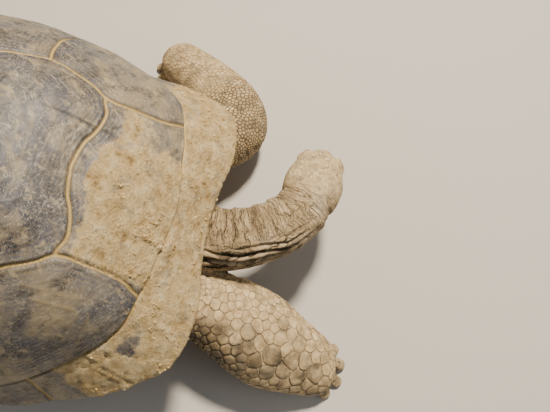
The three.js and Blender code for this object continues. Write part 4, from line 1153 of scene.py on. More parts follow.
def frontParts():
    parts = [endWall(-300), closedTube(headShape())]
    parts += [closedTube(limbShape(name)) for name in ("neck", "forelegRight", "forelegLeft")]
    parts += toeParts("forelegRight") + toeParts("forelegLeft")
    turn = headAxes.T
    for side in (1, -1):
        eye = np.array(head["eye"]) * (1, side, 1)
        parts.append(ball(fromHead(eye + (0, side * 1.0, 0)), lidsBulge, turn))
        for (along, out, up), radii in headSwellings.values():
            parts.append(ball(fromHead((along, side * out, up)), radii, turn))
    return parts


def backParts():
    parts = [endWall(290)]
    parts += [closedTube(limbShape(name)) for name in ("hindlegRight", "hindlegLeft", "tail")]
    return parts + toeParts("hindlegRight") + toeParts("hindlegLeft")


def toeParts(name):
    parts = []
    for root, _, way in clawPlaces(name):
        turn = np.array([way, np.cross((0, 0, 1), way), (0, 0, 1)])
        parts.append(ball(root - way * 12 + (0, 0, 2), (21, 13, 14), turn))
    return parts


def evenQuads(name, parts, size):  # the parts joined into one closed surface of even quads
    made = meshObject(name, *together(parts))
    orderFaces(made)
    remesh = made.modifiers.new("even quads", "REMESH")
    remesh.mode = "VOXEL"
    remesh.voxel_size = size * mm
    return settled(made)


def joinedInto(made, *others):
    bpy.ops.object.select_all(action="DESELECT")
    for other in (made, *others):
        other.select_set(True)
    bpy.context.view_layer.objects.active = made
    bpy.ops.object.join()
    return made


def edgesOf(made):
    flat = np.zeros(len(made.data.edges) * 2, np.int32)
    made.data.edges.foreach_get("vertices", flat)
    return flat.reshape(-1, 2)


def evened(points, edges, rounds, keep=1):  # each point moves towards its neighbours' middle
    count = np.bincount(edges.ravel(), minlength=len(points))[:, None]
    for _ in range(rounds):
        total = np.zeros_like(points)
        for axis in range(3):
            for a, b in ((0, 1), (1, 0)):
                total[:, axis] += np.bincount(edges[:, a], points[edges[:, b], axis], len(points))
        points = points + (total / np.maximum(count, 1) - points) * 0.5 * keep
    return points


def limbPlaces(points):  # each point's limb, its share along it, degrees round it, mm along it
    best = np.full(len(points), 0.45)
    limb = np.full(len(points), -1)
    along, bearing, arc = np.zeros(len(points)), np.zeros(len(points)), np.zeros(len(points))
    for number, name in enumerate(limbNames):
        s = np.linspace(0, 1, 140)
        middle, forward, side, lift, wide, thick = limbAt(name, s)
        length = np.concatenate([[0], np.cumsum(np.linalg.norm(np.diff(middle, axis=0), axis=1))])
        low, high = middle.min(axis=0) - 95, middle.max(axis=0) + 95
        near = np.flatnonzero(((points > low) & (points < high)).all(axis=1))
        for part in np.array_split(near, max(1, len(near) // 20000)):
            p = points[part]
            k = np.argmin(((p[:, None] - middle[None]) ** 2).sum(axis=-1), axis=1)
            off = p - middle[k]
            a, b, ahead = ((off * axis[k]).sum(axis=1) for axis in (side, lift, forward))
            square = limbSquareness
            reach = (np.abs(a / wide[k]) ** square + np.abs(b / thick[k]) ** square) ** (1 / square)
            error = np.abs(reach - 1) + 0.006 * np.abs(ahead) * ((k == 0) | (k == len(s) - 1))
            better = error < best[part]
            chosen = part[better]
            best[chosen] = error[better]
            limb[chosen] = number
            along[chosen] = s[k][better]
            arc[chosen] = (length[k] + ahead)[better]
            bearing[chosen] = np.degrees(np.arctan2(b, a))[better]
    return limb, along, bearing, arc


def refined(made, chosen):  # quads between chosen points are cut in four
    work = bmesh.new()
    work.from_mesh(made.data)
    work.verts.ensure_lookup_table()
    edges = [e for e in work.edges if chosen[e.verts[0].index] and chosen[e.verts[1].index]]
    bmesh.ops.subdivide_edges(work, edges=edges, cuts=1, use_grid_fill=True)
    work.to_mesh(made.data)
    work.free()
    made.data.polygons.foreach_set("use_smooth", [True] * len(made.data.polygons))
    made.data.update()


def headShare(points):  # 1 on the head, fading into the neck
    a, y, z = toHead(points).T
    return smoothStep(2, 20, a) * (np.abs(y) < 64) * (np.abs(z) < 56)


def keptApart(places, radii, share, seed):  # indices of places at least share of their radii apart
    order = list(range(len(places)))
    random.Random(seed).shuffle(order)
    cells, chosen, wide = {}, [], 2 * share * max(radii)
    for i in order:
        (a, b, c), r = places[i], radii[i]
        key = (int(a // wide), int(b // wide), int(c // wide))
        near = (
            q
            for d in itertools.product((0, -1, 1), repeat=3)
            for q in cells.get((key[0] + d[0], key[1] + d[1], key[2] + d[2]), ())
        )
        if all((a - x) ** 2 + (b - y) ** 2 + (c - z) ** 2 > (share * (r + s)) ** 2 for x, y, z, s in near):
            cells.setdefault(key, []).append((a, b, c, r))
            chosen.append(i)
    return chosen


def cellCracks(points, spacing, seed):  # 1 between scales about spacing across, 0 inside them
    chosen = keptApart(points.tolist(), [spacing] * len(points), 0.43, seed)
    tree = pointTree(points[chosen])
    nearest = [tree.find_n(p, 2) for p in points]
    gap = np.array([second[2] - first[2] for first, second in nearest])
    return 1 - smoothStep(0, spacing * 0.2, gap)


headMarks = {  # depths, sizes and places in mm; places run along the head, to the side and up
    "lips": (2.4, 1.3),  # depth and width of the gape
    "upperLip": 0.9,
    "lidRing": (13.5, 9.0),  # half length and half height of the lids
    "lidFolds": ((1.25, 0.8), (1.55, 0.6), (1.9, 0.45)),  # of thin skin: where on the ring, and depth
    "scales": ((9.5, 0.5), (5.0, 0.4)),  # size and depth of the cracks, on top and at the side
    "foldSpacing": 11,  # of the throat and the nape
    "foldDepth": 1.6,
    "eardrum": (34, -3),
    "drumRim": (13, 1.6, 0.9),  # radius, width and depth
    "drumDepth": 0.8,
    "nostril": (139, 7, 5.5),
    "nostrilDepth": 3.4,
    "grain": (0.35, 7),
}


def lidMarks(a, side, y, z):  # folds round the eye, and how far out each point is on the lids' ring
    alongEye, sideEye, upEye = head["eye"]
    halfLong, halfHigh = headMarks["lidRing"]
    da = a - alongEye
    ringOut = np.sqrt((da / halfLong) ** 2 + ((z - upEye) / halfHigh) ** 2)
    outside = side * y > sideEye - 6
    creased = [
        (depth, np.exp(-(((ringOut - level - 0.05 * np.sin(4 * da)) / 0.055) ** 2)) * outside)
        for level, depth in headMarks["lidFolds"]
    ]
    return ringOut, creased


def headRelief(points):  # how far each point of the head moves outwards, its folds and its horny beak
    a, y, z = toHead(points).T
    # painted shade in the lid folds, the cracks between the scales, the throat and nape folds, the gape and
    # the nostrils
    move = np.zeros(len(points))
    fold = np.zeros(len(points))
    above = z - curve(head["mouth"], a)
    depth, wide = headMarks["lips"]
    gape = np.exp(-((above / wide) ** 2)) * smoothStep(52, 60, a)
    move -= depth * gape
    upperLip = smoothStep(0.6, 2.2, above) * smoothStep(11, 4, above)
    move += headMarks["upperLip"] * upperLip * smoothStep(60, 84, a)
    ringOut, creased = lidMarks(a, np.sign(y), y, z)
    for depth, crease in creased:
        move -= depth * crease
        fold = np.maximum(fold, 0.75 * crease)
    isTop = smoothStep(-4, 14, z) > 0.5
    (large, deep), (small, shallow) = headMarks["scales"]
    tile = np.where(isTop, cellCracks(points, large, 3), cellCracks(points, small, 4))
    tile = tile * smoothStep(142, 132, a)
    worn = smoothStep(-0.35, 0.35, noise(points, 34, 85, 2))  # the scales have worn smooth here and there
    tile = tile * (1 - smoothStep(0.2, 0.8, gape)) * (ringOut > 1.2) * worn
    move -= np.where(isTop, deep, shallow) * tile
    fold = np.maximum(fold, 0.42 * tile)
    folds = creases((a + 6 * noise(points, 28, 81, 2)) / headMarks["foldSpacing"], 0.2)
    throat = folds * smoothStep(-12, -26, z) * smoothStep(96, 66, a)
    nape = folds * smoothStep(36, 8, a)
    move -= headMarks["foldDepth"] * np.maximum(throat, nape)
    fold = np.maximum.reduce([fold, 0.8 * throat, 0.8 * nape, gape])
    alongDrum, upDrum = headMarks["eardrum"]
    drum = np.sqrt((a - alongDrum) ** 2 + (z - upDrum) ** 2)
    radius, wide, depth = headMarks["drumRim"]
    sunk = depth * np.exp(-(((drum - radius) / wide) ** 2)) + headMarks["drumDepth"] * smoothStep(12, 6, drum)
    move -= sunk * (np.abs(y) > 34)
    alongPit, sidePit, upPit = headMarks["nostril"]
    pit = np.sqrt((a - alongPit) ** 2 + (np.abs(y) - sidePit) ** 2 + ((z - upPit) / 0.8) ** 2)
    hole = smoothStep(4.4, 1.6, pit)
    move -= headMarks["nostrilDepth"] * hole
    fold = np.maximum(fold, hole)
    move += uneven(points, headMarks["grain"], 87)
    edge = np.abs(above)
    beak = smoothStep(98, 110, a - 0.35 * edge) * smoothStep(17, 11, edge)
    beak = np.maximum(beak, 0.9 * smoothStep(12, 7, edge) * smoothStep(62, 76, a))
    return move, fold, beak


# mm: half height and half length of the slit, the sunk skin's distance from the eye's middle, the slit's drop
# below it and how far round it skin sinks; above its middle the slit has only a share of its half height
lids = {"halfHigh": 5.4, "halfLong": 11.8, "sunk": 10.6, "drop": 1.0, "reach": 24, "upperShare": 0.8}


def openLids(points):  # the skin in front of each eye sinks behind the eyeball
    place = toHead(points)
    for side in (1, -1):
        centre = np.array(head["eye"]) * (1, side, 1)
        off = place - centre
        reach = np.linalg.norm(off, axis=1)
        da, dz = off[:, 0], off[:, 2] + lids["drop"]
        half = lids["halfHigh"] * np.sqrt(np.clip(1 - (da / lids["halfLong"]) ** 2, 0.0, 1))
        inside = np.abs(dz) - np.where(dz > 0, half * lids["upperShare"], half)
        inFront = (np.abs(da) < 12.5) * (side * off[:, 1] > 0) * (reach < lids["reach"])
        target = mixed(reach, lids["sunk"], smoothStep(0.9, -0.5, inside) * inFront)
        place = centre + off * (target / np.maximum(reach, 1e-6))[:, None]
    return fromHead(place)


# the neck's folds: how far apart (in mm along the neck, or degrees round it) and how deep in mm
neckFolds = {"across": (19, 1.8), "large": (41, 3.0), "deep": (14.5, 8.0), "swell": 1.4}


def neckRelief(points, bearing, arc):  # folds of the loose neck skin
    warp = noise(points, 48, 91)
    comes = smoothStep(-0.5, 0.1, noise(points, 44, 93, 2))
    right = smoothStep(84, 50, np.abs(bearing + 14)) * smoothStep(390, 280, arc)  # by the shell
    apart, shallow = neckFolds["across"]
    across = creases((arc + 10 * warp + 7 * np.sin(np.radians(bearing * 1.7))) / apart, 0.2) * comes
    apart, middling = neckFolds["large"]
    large = creases((arc + 16 * warp) / apart + 0.2, 0.13) * (0.45 + 0.55 * comes)
    loose = (1 - right) * smoothStep(475, 445, arc)
    swell = neckFolds["swell"] * np.cos(2 * np.pi * (arc + 16 * warp) / apart) * loose
    apart, most = neckFolds["deep"]
    deep = creases((bearing + 60 + (arc - 130) * 0.16 + 10 * warp) / apart, 0.22) * right
    depth = np.maximum.reduce([shallow * across * loose, middling * large * loose, most * deep])
    shade = np.maximum.reduce([0.4 * across * loose, 0.6 * large * loose, deep])
    return swell - depth, shade


def looseSkin(limb, along, bearing):  # 1 where the scales stand apart and dark skin shows between them
    elbow = (limb == limbNames.index("forelegLeft")) * smoothStep(0.62, 0.48, along)
    shoulder = (limb == limbNames.index("forelegRight")) * smoothStep(0.6, 0.45, along)
    shoulder = shoulder * smoothStep(75, 40, bearing)
    return np.maximum(elbow, shoulder)


# folds of the legs' and the body's skin: depth, and mm apart or the size of the bends that they follow
bodySkin = {"rolls": (3.0, 21), "slack": (3.2, 62), "fine": (0.6, 14), "broad": (1.0, 48)}


def skinRelief(points, limb, along, bearing, arc):  # how far each point moves outwards, and its folds
    move = uneven(points, bodySkin["fine"], 95) + uneven(points, bodySkin["broad"], 96, 2)
    onNeck = limb == limbNames.index("neck")
    onLeg = (limb >= 0) & (limb < 4)
    neckMove, neckShade = neckRelief(points, bearing, arc)
    move += np.where(onNeck, neckMove, 0)
    shoulder = smoothStep(0.46, 0.3, along) * onLeg
    rollDepth, apart = bodySkin["rolls"]
    rolls = creases((arc + 15 * noise(points, 40, 97, 2)) / apart, 0.16) * shoulder
    slackDepth, size = bodySkin["slack"]
    slack = creases(noise(points, size, 99, 2) * 3.2 + points[:, 2] / 60, 0.14) * (limb < 0)
    move -= rollDepth * rolls + slackDepth * slack
    toes = smoothStep(0.8, 0.9, along) * onLeg
    move += toes * (1.0 * noise(points, 8, 101) + 0.6 * noise(points, 20, 103, 2))
    # painted shade in the neck's folds, the shoulder's rolls and the body's slack skin
    fold = np.maximum.reduce([np.where(onNeck, neckShade, 0), 0.85 * rolls, 0.9 * slack])
    bare = (0.9 * smoothStep(0.14, 0.2, along) * looseSkin(limb, along, bearing)) * onLeg
    return move, np.maximum(fold, bare)


def skinFacts(points, limb, bearing, arc, share):  # what the skin's material needs to know
    onNeck = limb == limbNames.index("neck")
    turned = (bearing + 90) % 360 * math.radians(limbRadius)  # the ends meet underneath
    flat = np.stack([arc, turned, np.zeros(len(arc))], axis=1)
    body = points[:, [2, 0, 1]] * (1, 1, 0)
    low = smoothStep(86, 52, np.abs(bearing + 14)) * smoothStep(400, 290, arc)
    face = smoothStep(-16, 34, toHead(points)[:, 0] + 12 * noise(points, 22, 83, 2))
    face *= (share > 0) | (onNeck & (arc > 380))
    return {
        "limbMap": np.where((limb >= 0)[:, None], flat, body),
        "wrinkle": np.where(onNeck, 1 - 0.75 * low, 0.5) * (1 - face),
        "longFold": np.where(onNeck, low, 0),
        "faceArea": np.maximum(face, 0.2 * onNeck),
    }


skinMesh = {
    "quad": 2.8,  # mm
    "quickQuad": 5.0,
    "backQuad": 6.0,
    "rounds": 7,  # of smoothing
    "fineFrom": 50,  # mm along the head, from where its quads are cut in four
    "lowest": 0.5,  # mm
    "hidden": 345,  # mm before and behind the middle
    "most": 190000,  # triangles
}


def joinedFlesh():  # one closed surface over all the flesh, finer on the head
    made = evenQuads("skin", frontParts(), skinMesh["quad"])
    joinedInto(made, evenQuads("backSkin", backParts(), skinMesh["backQuad"]))
    movePoints(made, evened(pointsOf(made), edgesOf(made), skinMesh["rounds"]))
    points = pointsOf(made)
    refined(made, (headShare(points) > 0) & (toHead(points)[:, 0] > skinMesh["fineFrom"]))
    points = pointsOf(made)
    points = evened(points, edgesOf(made), 3, keep=headShare(points)[:, None])
    movePoints(made, points)
    return made, points


def thinHidden(made, points, limb, faces):  # fewer faces under the shell, and a few less on the limbs
    hidden = (limb < 0) & (np.abs(points[:, 1]) < skinMesh["hidden"])
    group = made.vertex_groups.new(name="plain")
    group.add(np.flatnonzero(hidden).tolist(), 1.0, "REPLACE")
    group.add(np.flatnonzero((limb >= 0) & (limb < 5)).tolist(), 0.5, "REPLACE")
    triangles = sum(len(f) - 2 for f in faces)
    fewer = made.modifiers.new("fewer hidden faces", "DECIMATE")
    fewer.ratio = min(1.0, skinMesh["most"] / triangles)
    fewer.vertex_group = "plain"
    fewer.vertex_group_factor = 2
    settled(made)
    print("skin triangles", triangles, "then", sum(len(p.vertices) - 2 for p in made.data.polygons))


def buildSkin(material):
    made, points = joinedFlesh()
    limb, along, bearing, arc = limbPlaces(points)
    move, fold = skinRelief(points, limb, along, bearing, arc)
    share = headShare(points)
    beak = np.zeros(len(points))
    face = np.flatnonzero(share > 0)
    faceMove, faceShade, faceBeak = headRelief(points[face])
    move[face] = mixed(move[face], faceMove, share[face])
    fold[face] = mixed(fold[face], faceShade, share[face])
    beak[face] = faceBeak * share[face]
    points = points + normalsOf(made) * move[:, None]
    points[face] = openLids(points[face])
    points[:, 2] = np.maximum(points[:, 2], skinMesh["lowest"])
    movePoints(made, points)
    facts = {**skinFacts(points, limb, bearing, arc, share), "fold": fold, "beak": beak}
    for name, values in facts.items():
        setAttribute(made, name, values)
    faces = [p.vertices[:] for p in made.data.polygons]
    places = (points, normalsOf(made), faces, limb, along, bearing)
    thinHidden(made, points, limb, faces)
    core = meshObject("torsoCore", *closedTube(torsoShape() * 0.985))
    orderFaces(core)
    joinedInto(made, core)
    made.data.polygons.foreach_set("use_smooth", [True] * len(made.data.polygons))
    made.data.materials.append(material)
    return made, places


skin, skinPlaces = buildSkin(wrinkledSkin())
legLabels = {
    "forelegRight": "foreleg_right",
    "forelegLeft": "foreleg_left",
    "hindlegRight": "hindleg_right",
    "hindlegLeft": "hindleg_left",
}
legNodes = [f"{label}_{part}" for label in legLabels.values() for part in ("upper", "lower")]
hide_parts("torso", "neck", "head", "tail", *legNodes)
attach(skin, "root")
print("skin built")


# radius of the scales in mm against the place along the limb, and how much smaller they are round it
scaleSizes = {
    "forelegRight": [
        *([0.2, 4.6], [0.34, 7.5], [0.46, 11], [0.58, 14], [0.72, 15.5], [0.82, 13], [0.9, 9]),
        *([0.95, 7], [1, 6]),
    ],
    "forelegLeft": [[0.16, 3.6], [0.5, 3.8], [0.65, 4.6], [0.8, 5.4], [1, 5.2]],
    **{f"hindleg{side}": [[0.2, 5], [0.5, 7], [0.75, 9.5], [1, 8]] for side in ("Right", "Left")},
    "tail": [[0.25, 5], [0.7, 5.5], [1, 4.5]],
}
scaleRound = [
    *([-180, 0.55], [-90, 0.5], [-30, 0.55], [5, 0.62], [30, 0.8], [60, 1.1], [90, 0.98]),
    *([125, 0.74], [160, 0.62], [180, 0.55]),
]


def scaleSeeds(points, limb, along, bearing):
    radius = np.zeros(len(points))
    for name, rows in scaleSizes.items():
        here = limb == limbNames.index(name)
        size = curve(rows, along) * curve(scaleRound, bearing)
        radius = np.where(here & (along > rows[0][0]), np.maximum(size, 3.6), radius)
    radius *= 1 + 0.42 * noise(points, 30, 111, 2)
    free = np.flatnonzero((radius > 0) & (points[:, 2] > 2))
    chosen = free[keptApart(points[free].tolist(), radius[free].tolist(), 0.86, 8)]
    return chosen.tolist(), radius[chosen].tolist()


def clipped(polygon, x, y, limit):  # the part of a polygon where x and y times its corners stay under limit
    kept = []
    for (ax, ay), (bx, by) in zip(polygon, polygon[1:] + polygon[:1]):
        da, db = ax * x + ay * y - limit, bx * x + by * y - limit
        if da <= 0:
            kept.append((ax, ay))
        if (da < 0 < db) or (db < 0 < da):
            t = da / (da - db)
            kept.append((mixed(ax, bx, t), mixed(ay, by, t)))
    return kept


def frameAt(normal):
    normal = Vector(normal).normalized()
    side = normal.orthogonal().normalized()
    return side, normal.cross(side), normal


def scaleOutlines(seeds, normals, radii):  # each scale's polygon, flat on the skin's tangent plane
    tree = pointTree(seeds)
    outlines = []
    for p, n, r in zip(seeds, normals, radii):
        side, up, _ = frameAt(n)
        ways = np.arange(0, math.tau, math.pi / 6)
        polygon = [(1.8 * r * math.cos(a), 1.8 * r * math.sin(a)) for a in ways]
        for q, k, distance in tree.find_range(p, 3.4 * r + 6):
            if distance < 1e-6:
                continue
            off = q - Vector(p)
            x, y = off.dot(side), off.dot(up)
            flat = math.hypot(x, y)
            if flat < 1e-6 or len(polygon) < 3:
                continue
            share = 0.5 * distance + (r * r - radii[k] ** 2) / (2 * distance)
            polygon = clipped(polygon, x / flat, y / flat, share)
        outlines.append(polygon)
    return outlines


def rounded(polygon):  # corners cut once, so that the outline is softer
    made = []
    for (ax, ay), (bx, by) in zip(polygon, polygon[1:] + polygon[:1]):
        made += [(mixed(ax, bx, 0.16), mixed(ay, by, 0.16)), (mixed(ax, bx, 0.84), mixed(ay, by, 0.84))]
    return made


def cleaned(polygon, least):  # corners closer than least to the next are dropped
    kept = []
    for corner in polygon:
        if not kept or math.dist(corner, kept[-1]) > least:
            kept.append(corner)
    while len(kept) > 2 and math.dist(kept[0], kept[-1]) <= least:
        kept.pop()
    return kept


def settledScales(seeds, facing, radii, surface):  # scales move towards the middle of their own polygons
    for _ in range(2):
        for k, polygon in enumerate(scaleOutlines(seeds, facing, radii)):
            if len(polygon) < 3:
                continue
            side, up, _ = frameAt(facing[k])
            x, y = (sum(c) / len(polygon) for c in zip(*polygon))
            seeds[k], facing[k], _, _ = surface.find_nearest(seeds[k] + side * x * 0.8 + up * y * 0.8)
    return scaleOutlines(seeds, facing, radii)


scaleShape = {  # in mm
    "root": -1.3,  # how deep in the skin it starts
    "floor": 0.3,  # the lowest that any point lies
    "gap": 0.2,  # between two scales, and how it grows with their size and where the skin is loose
    "gapGrowth": 0.01,
    "looseGap": 0.45,
    "height": 0.6,  # and how it grows with size
    "heightGrowth": 0.12,
    "tilt": 0.06,  # radians at most
    "simple": 5,  # scales of a smaller radius have fewer steps
    "seed": 4,
}


def dustAt(limb, along, bearing):  # 1 where pale dust covers the horn
    low = float(smoothStep(0.4, 0.6, along))
    if limb == limbNames.index("forelegRight"):
        # the outer side gets less pale dust: partly dust lying on the upper side, partly painted shade on the
        # side turned from the light
        outer = float(smoothStep(80, 35, bearing))
        return 0.95 - 0.85 * outer * (1 - 0.5 * low)
    if limb == limbNames.index("forelegLeft"):
        return 0.7 + 0.2 * low
    return 0.4


def steppedRing(polygon, middle, gap, shrink):  # the polygon drawn in by the gap and a share of its size
    ring = []
    for x, y in polygon:
        far = math.dist((x, y), middle)
        pull = max(0.1, far - gap) / far * shrink
        ring.append((mixed(middle[0], x, pull), mixed(middle[1], y, pull)))
    return ring


def outlineArea(polygon):
    pairs = zip(polygon, polygon[1:] + polygon[:1])
    return abs(sum(a[0] * b[1] - a[1] * b[0] for a, b in pairs)) / 2


def scaleSteps(r, high, dust, apart):  # each step's share of the outline, its height and its darkness
    flat = min(max(float(dust), 0), 1)  # dust levels a scale and leaves narrow cracks round it
    edge, shoulder = mixed(0.4, 0.8, flat) * high, mixed(0.84, 0.94, flat) * high
    # a step's darkness is painted shade where the scale sinks into the crack round it
    root = (1.0, scaleShape["root"], 1.0)
    if r < scaleShape["simple"]:
        return [root, (0.975, 1.1 * edge, 0.45 + 0.4 * apart), (0.7, 0.95 * high, 0)]
    return [root, (0.985, edge, 0.75), (0.91, shoulder, 0), (0.55, high, 0)]


def scaleFaces(first, count, steps):  # between its steps, up to the point in its middle, and under its root
    pairs = [(i, (i + 1) % count) for i in range(count)]
    top = first + (steps - 1) * count
    faces = []
    for a in range(first, top, count):
        faces += [(a + i, a + k, a + count + k, a + count + i) for i, k in pairs]
    faces += [(top + i, top + k, top + count) for i, k in pairs]
    return [*faces, tuple(first + i for i in reversed(range(count)))]


def buildScales(name, limbsCovered, scales, surface, material):
    made, faces, maps = [], [], []
    facts = {"scaleTint": [], "dust": [], "scaleRimShade": []}
    chooser = random.Random(scaleShape["seed"])
    most = scaleShape["tilt"]
    for polygon, seed, facing, r, (limb, along, bearing) in scales:
        polygon = cleaned(polygon, 0.22 * r)
        if len(polygon) < 4 or limbNames[limb] not in limbsCovered:
            continue
        dust = dustAt(limb, along, bearing) - 0.45 * smoothStep(11, 15, r)
        apart = float(looseSkin(limb, along, bearing))
        gap = scaleShape["gap"] + scaleShape["gapGrowth"] * r + scaleShape["looseGap"] * apart
        high = scaleShape["heightGrowth"] * math.sqrt(outlineArea(polygon) / math.pi) + scaleShape["height"]
        high = high * (1.15 - 0.7 * dust)
        if r > scaleShape["simple"]:
            polygon = rounded(polygon)
        side, up, normal = frameAt(facing)
        tilt = Vector((chooser.uniform(-most, most), chooser.uniform(-most, most)))
        middle = tuple(sum(c) / len(polygon) for c in zip(*polygon))
        steps = scaleSteps(r, high, dust, apart)
        rings = [(steppedRing(polygon, middle, gap, shrink), height, rim) for shrink, height, rim in steps]
        first = len(made)
        # each scale has a spot of its own in the OFBake UV map, by limb, bearing and place along the limb
        root = (limb + 0.05 + 0.9 * (bearing / 360 + 0.5)) / len(limbNames), 0.05 + 0.9 * along
        for ring, height, rim in [*rings, ([middle], high, 0)]:
            for x, y in ring:
                foot = surface.find_nearest(seed + side * x + up * y)[0]
                point = foot + normal * (height + Vector((x, y)).dot(tilt))
                point.z = max(point.z, scaleShape["floor"])  # pressed flat on the floor
                made.append(point)
                maps.append((root[0] + 0.0015 * x / r, root[1] + 0.0015 * y / r))
                facts["scaleRimShade"].append(rim)
        faces += scaleFaces(first, len(polygon), len(steps))
        facts["scaleTint"] += [chooser.random()] * (len(made) - first)
        facts["dust"] += [dust] * (len(made) - first)
    piece = meshObject(name, np.array([p[:] for p in made]), faces, material)
    for fact, values in facts.items():
        setAttribute(piece, fact, values)
    layer = piece.data.uv_layers.new(name="OFBake")
    corners = np.zeros(len(piece.data.loops), np.int32)
    piece.data.loops.foreach_get("vertex_index", corners)
    layer.data.foreach_set("uv", np.array(maps, np.float32)[corners].ravel())
    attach(piece, "root")
    print(name, "triangles", sum(len(f.vertices) - 2 for f in piece.data.polygons))


def buildAllScales(material):
    points, normals, faces, limb, along, bearing = skinPlaces
    chosen, radii = scaleSeeds(points, limb, along, bearing)
    seeds = [Vector(points[i]) for i in chosen]
    facing = [Vector(normals[i]) for i in chosen]
    surface = BVHTree.FromPolygons(points.tolist(), faces)
    outlines = settledScales(seeds, facing, radii, surface)
    places = [(limb[i], along[i], bearing[i]) for i in chosen]
    scales = list(zip(outlines, seeds, facing, radii, places))
    groups = {
        "rightForelegScales": ["forelegRight"],
        "leftForelegScales": ["forelegLeft"],
        "hindScales": ["hindlegRight", "hindlegLeft", "tail"],
    }
    for name, limbsCovered in groups.items():
        buildScales(name, limbsCovered, scales, surface, material)


buildAllScales(legScaleHorn())
print("scales built")


claw = {
    "halfWidth": 12,
    "halfThick": 8,
    "sides": 20,
    "rings": 18,
    # rows of [share of its length, share of its half size], from inside the toe to the worn tip
    "width": [[-0.5, 0.7], [0.1, 1], [0.5, 0.94], [0.8, 0.74], [0.95, 0.46], [1, 0.14]],
    "thickness": [[-0.5, 0.8], [0.1, 1], [0.5, 0.78], [0.8, 0.5], [0.95, 0.3], [1, 0.1]],
    "underneath": 0.7,  # flatter there
    "hook": 0.12,
    "chips": (0.5, 7),
    "lowest": 0.6,
}


def clawMesh(root, tip, seed):
    chooser = random.Random(seed)
    reach = np.linalg.norm(tip - root)
    forward = (tip - root) / reach
    side = np.cross(forward, (0, 0, 1))
    side /= np.linalg.norm(side)
    lift = np.cross(side, forward)
    worn = chooser.uniform(0.9, 1.0)
    t = np.linspace(-0.5, 1, claw["rings"])
    wide, high = (curve(claw[key], t) * worn for key in ("width", "thickness"))
    theta = np.linspace(0, 2 * np.pi, claw["sides"], endpoint=False)
    ridge = 1 + 0.05 * np.sin(theta * 5 + seed)
    flatUnder = np.where(np.sin(theta) < 0, claw["underneath"], 1.0)
    across = (np.cos(theta) * ridge)[:, None] * side * claw["halfWidth"]
    upward = (np.sin(theta) * ridge * flatUnder)[:, None] * lift * claw["halfThick"]
    rings = []
    for place, wider, higher in zip(t, wide, high):
        hook = lift * claw["hook"] * reach * place * abs(place)
        rings.append(root + forward * reach * place + across * wider + upward * higher - hook)
    points, faces = closedTube(np.array(rings))
    inward = (points - points.mean(axis=0)) / claw["halfWidth"]
    points += uneven(points, claw["chips"], seed, 2)[:, None] * inward
    points[:, 2] = np.maximum(points[:, 2], claw["lowest"])
    return points, faces, np.repeat(np.clip(t, 0, 1), claw["sides"])


def buildClaws(name, label, material):
    claws = [clawMesh(root, tip, k + 7 * len(name)) for k, (root, tip, _) in enumerate(clawPlaces(name))]
    piece = meshObject(f"{name}Claws", *together([made[:2] for made in claws]), material)
    orderFaces(piece)
    setAttribute(piece, "clawAlong", np.concatenate([made[2] for made in claws]))
    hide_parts(*[f"{label}_claw_{k + 1}" for k in range(feet[name]["count"])])
    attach(piece, "root")


clawMaterial = wornClawHorn()
for name, label in legLabels.items():
    buildClaws(name, label, clawMaterial)


# mm that the ball lies inside its socket and its front bulges, degrees that it looks ahead and down
eyeball = {"rows": 40, "columns": 56, "inside": 0.35, "bulge": 0.3, "ahead": 8, "down": 6, "iris": 0.62}


def buildEye(side, label, material):
    rows, columns = eyeball["rows"], eyeball["columns"]
    polar = np.linspace(0.01, np.pi - 0.01, rows)[:, None]
    angle = np.linspace(0, 2 * np.pi, columns, endpoint=False)[None, :]
    radius = head["eyeRadius"] - eyeball["inside"] + eyeball["bulge"] * np.exp(-((polar / 0.42) ** 2))
    x, z = np.sin(polar) * np.cos(angle), np.sin(polar) * np.sin(angle)
    local = np.stack(np.broadcast_arrays(x, np.cos(polar) * side, z), axis=-1)
    centre = np.array(head["eye"]) * (1, side, 1)
    ahead = Matrix.Rotation(math.radians(-side * eyeball["ahead"]), 3, "Z")
    down = Matrix.Rotation(math.radians(side * eyeball["down"]), 3, "X")
    points = fromHead(centre + (local * radius[..., None]) @ np.array(ahead @ down).T)
    flat, faces = closedTube(points)
    piece = meshObject(label.replace("_", "Ball_"), flat, faces, material)
    orderFaces(piece)
    setAttribute(piece, "fromPupil", np.repeat(np.clip(polar.ravel() / eyeball["iris"], 0, 1), columns))
    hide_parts(label)
    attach(piece, "root")


eyeMaterial = wetEye()
buildEye(1, "eye_left", eyeMaterial)
buildEye(-1, "eye_right", eyeMaterial)
print("claws and eyes built")


# the most on a square metre, their sizes as shares of a lump, and the lump's radius in m
crumbs = {"most": 60000, "smallest": 0.4, "largest": 1.5, "lump": 0.0022, "seed": 6}


def crumbShape(material):
    work = bmesh.new()
    bmesh.ops.create_icosphere(work, subdivisions=1, radius=crumbs["lump"])
    for v in work.verts:
        v.co *= 1 + 0.35 * math.sin(v.co.x * 2100 + v.co.y * 1700 + v.index)
        v.co.z *= 0.7
    mesh = bpy.data.meshes.new("crumb")
    work.to_mesh(mesh)
    work.free()
    mesh.materials.append(material)
    return newObject("crumb", mesh)


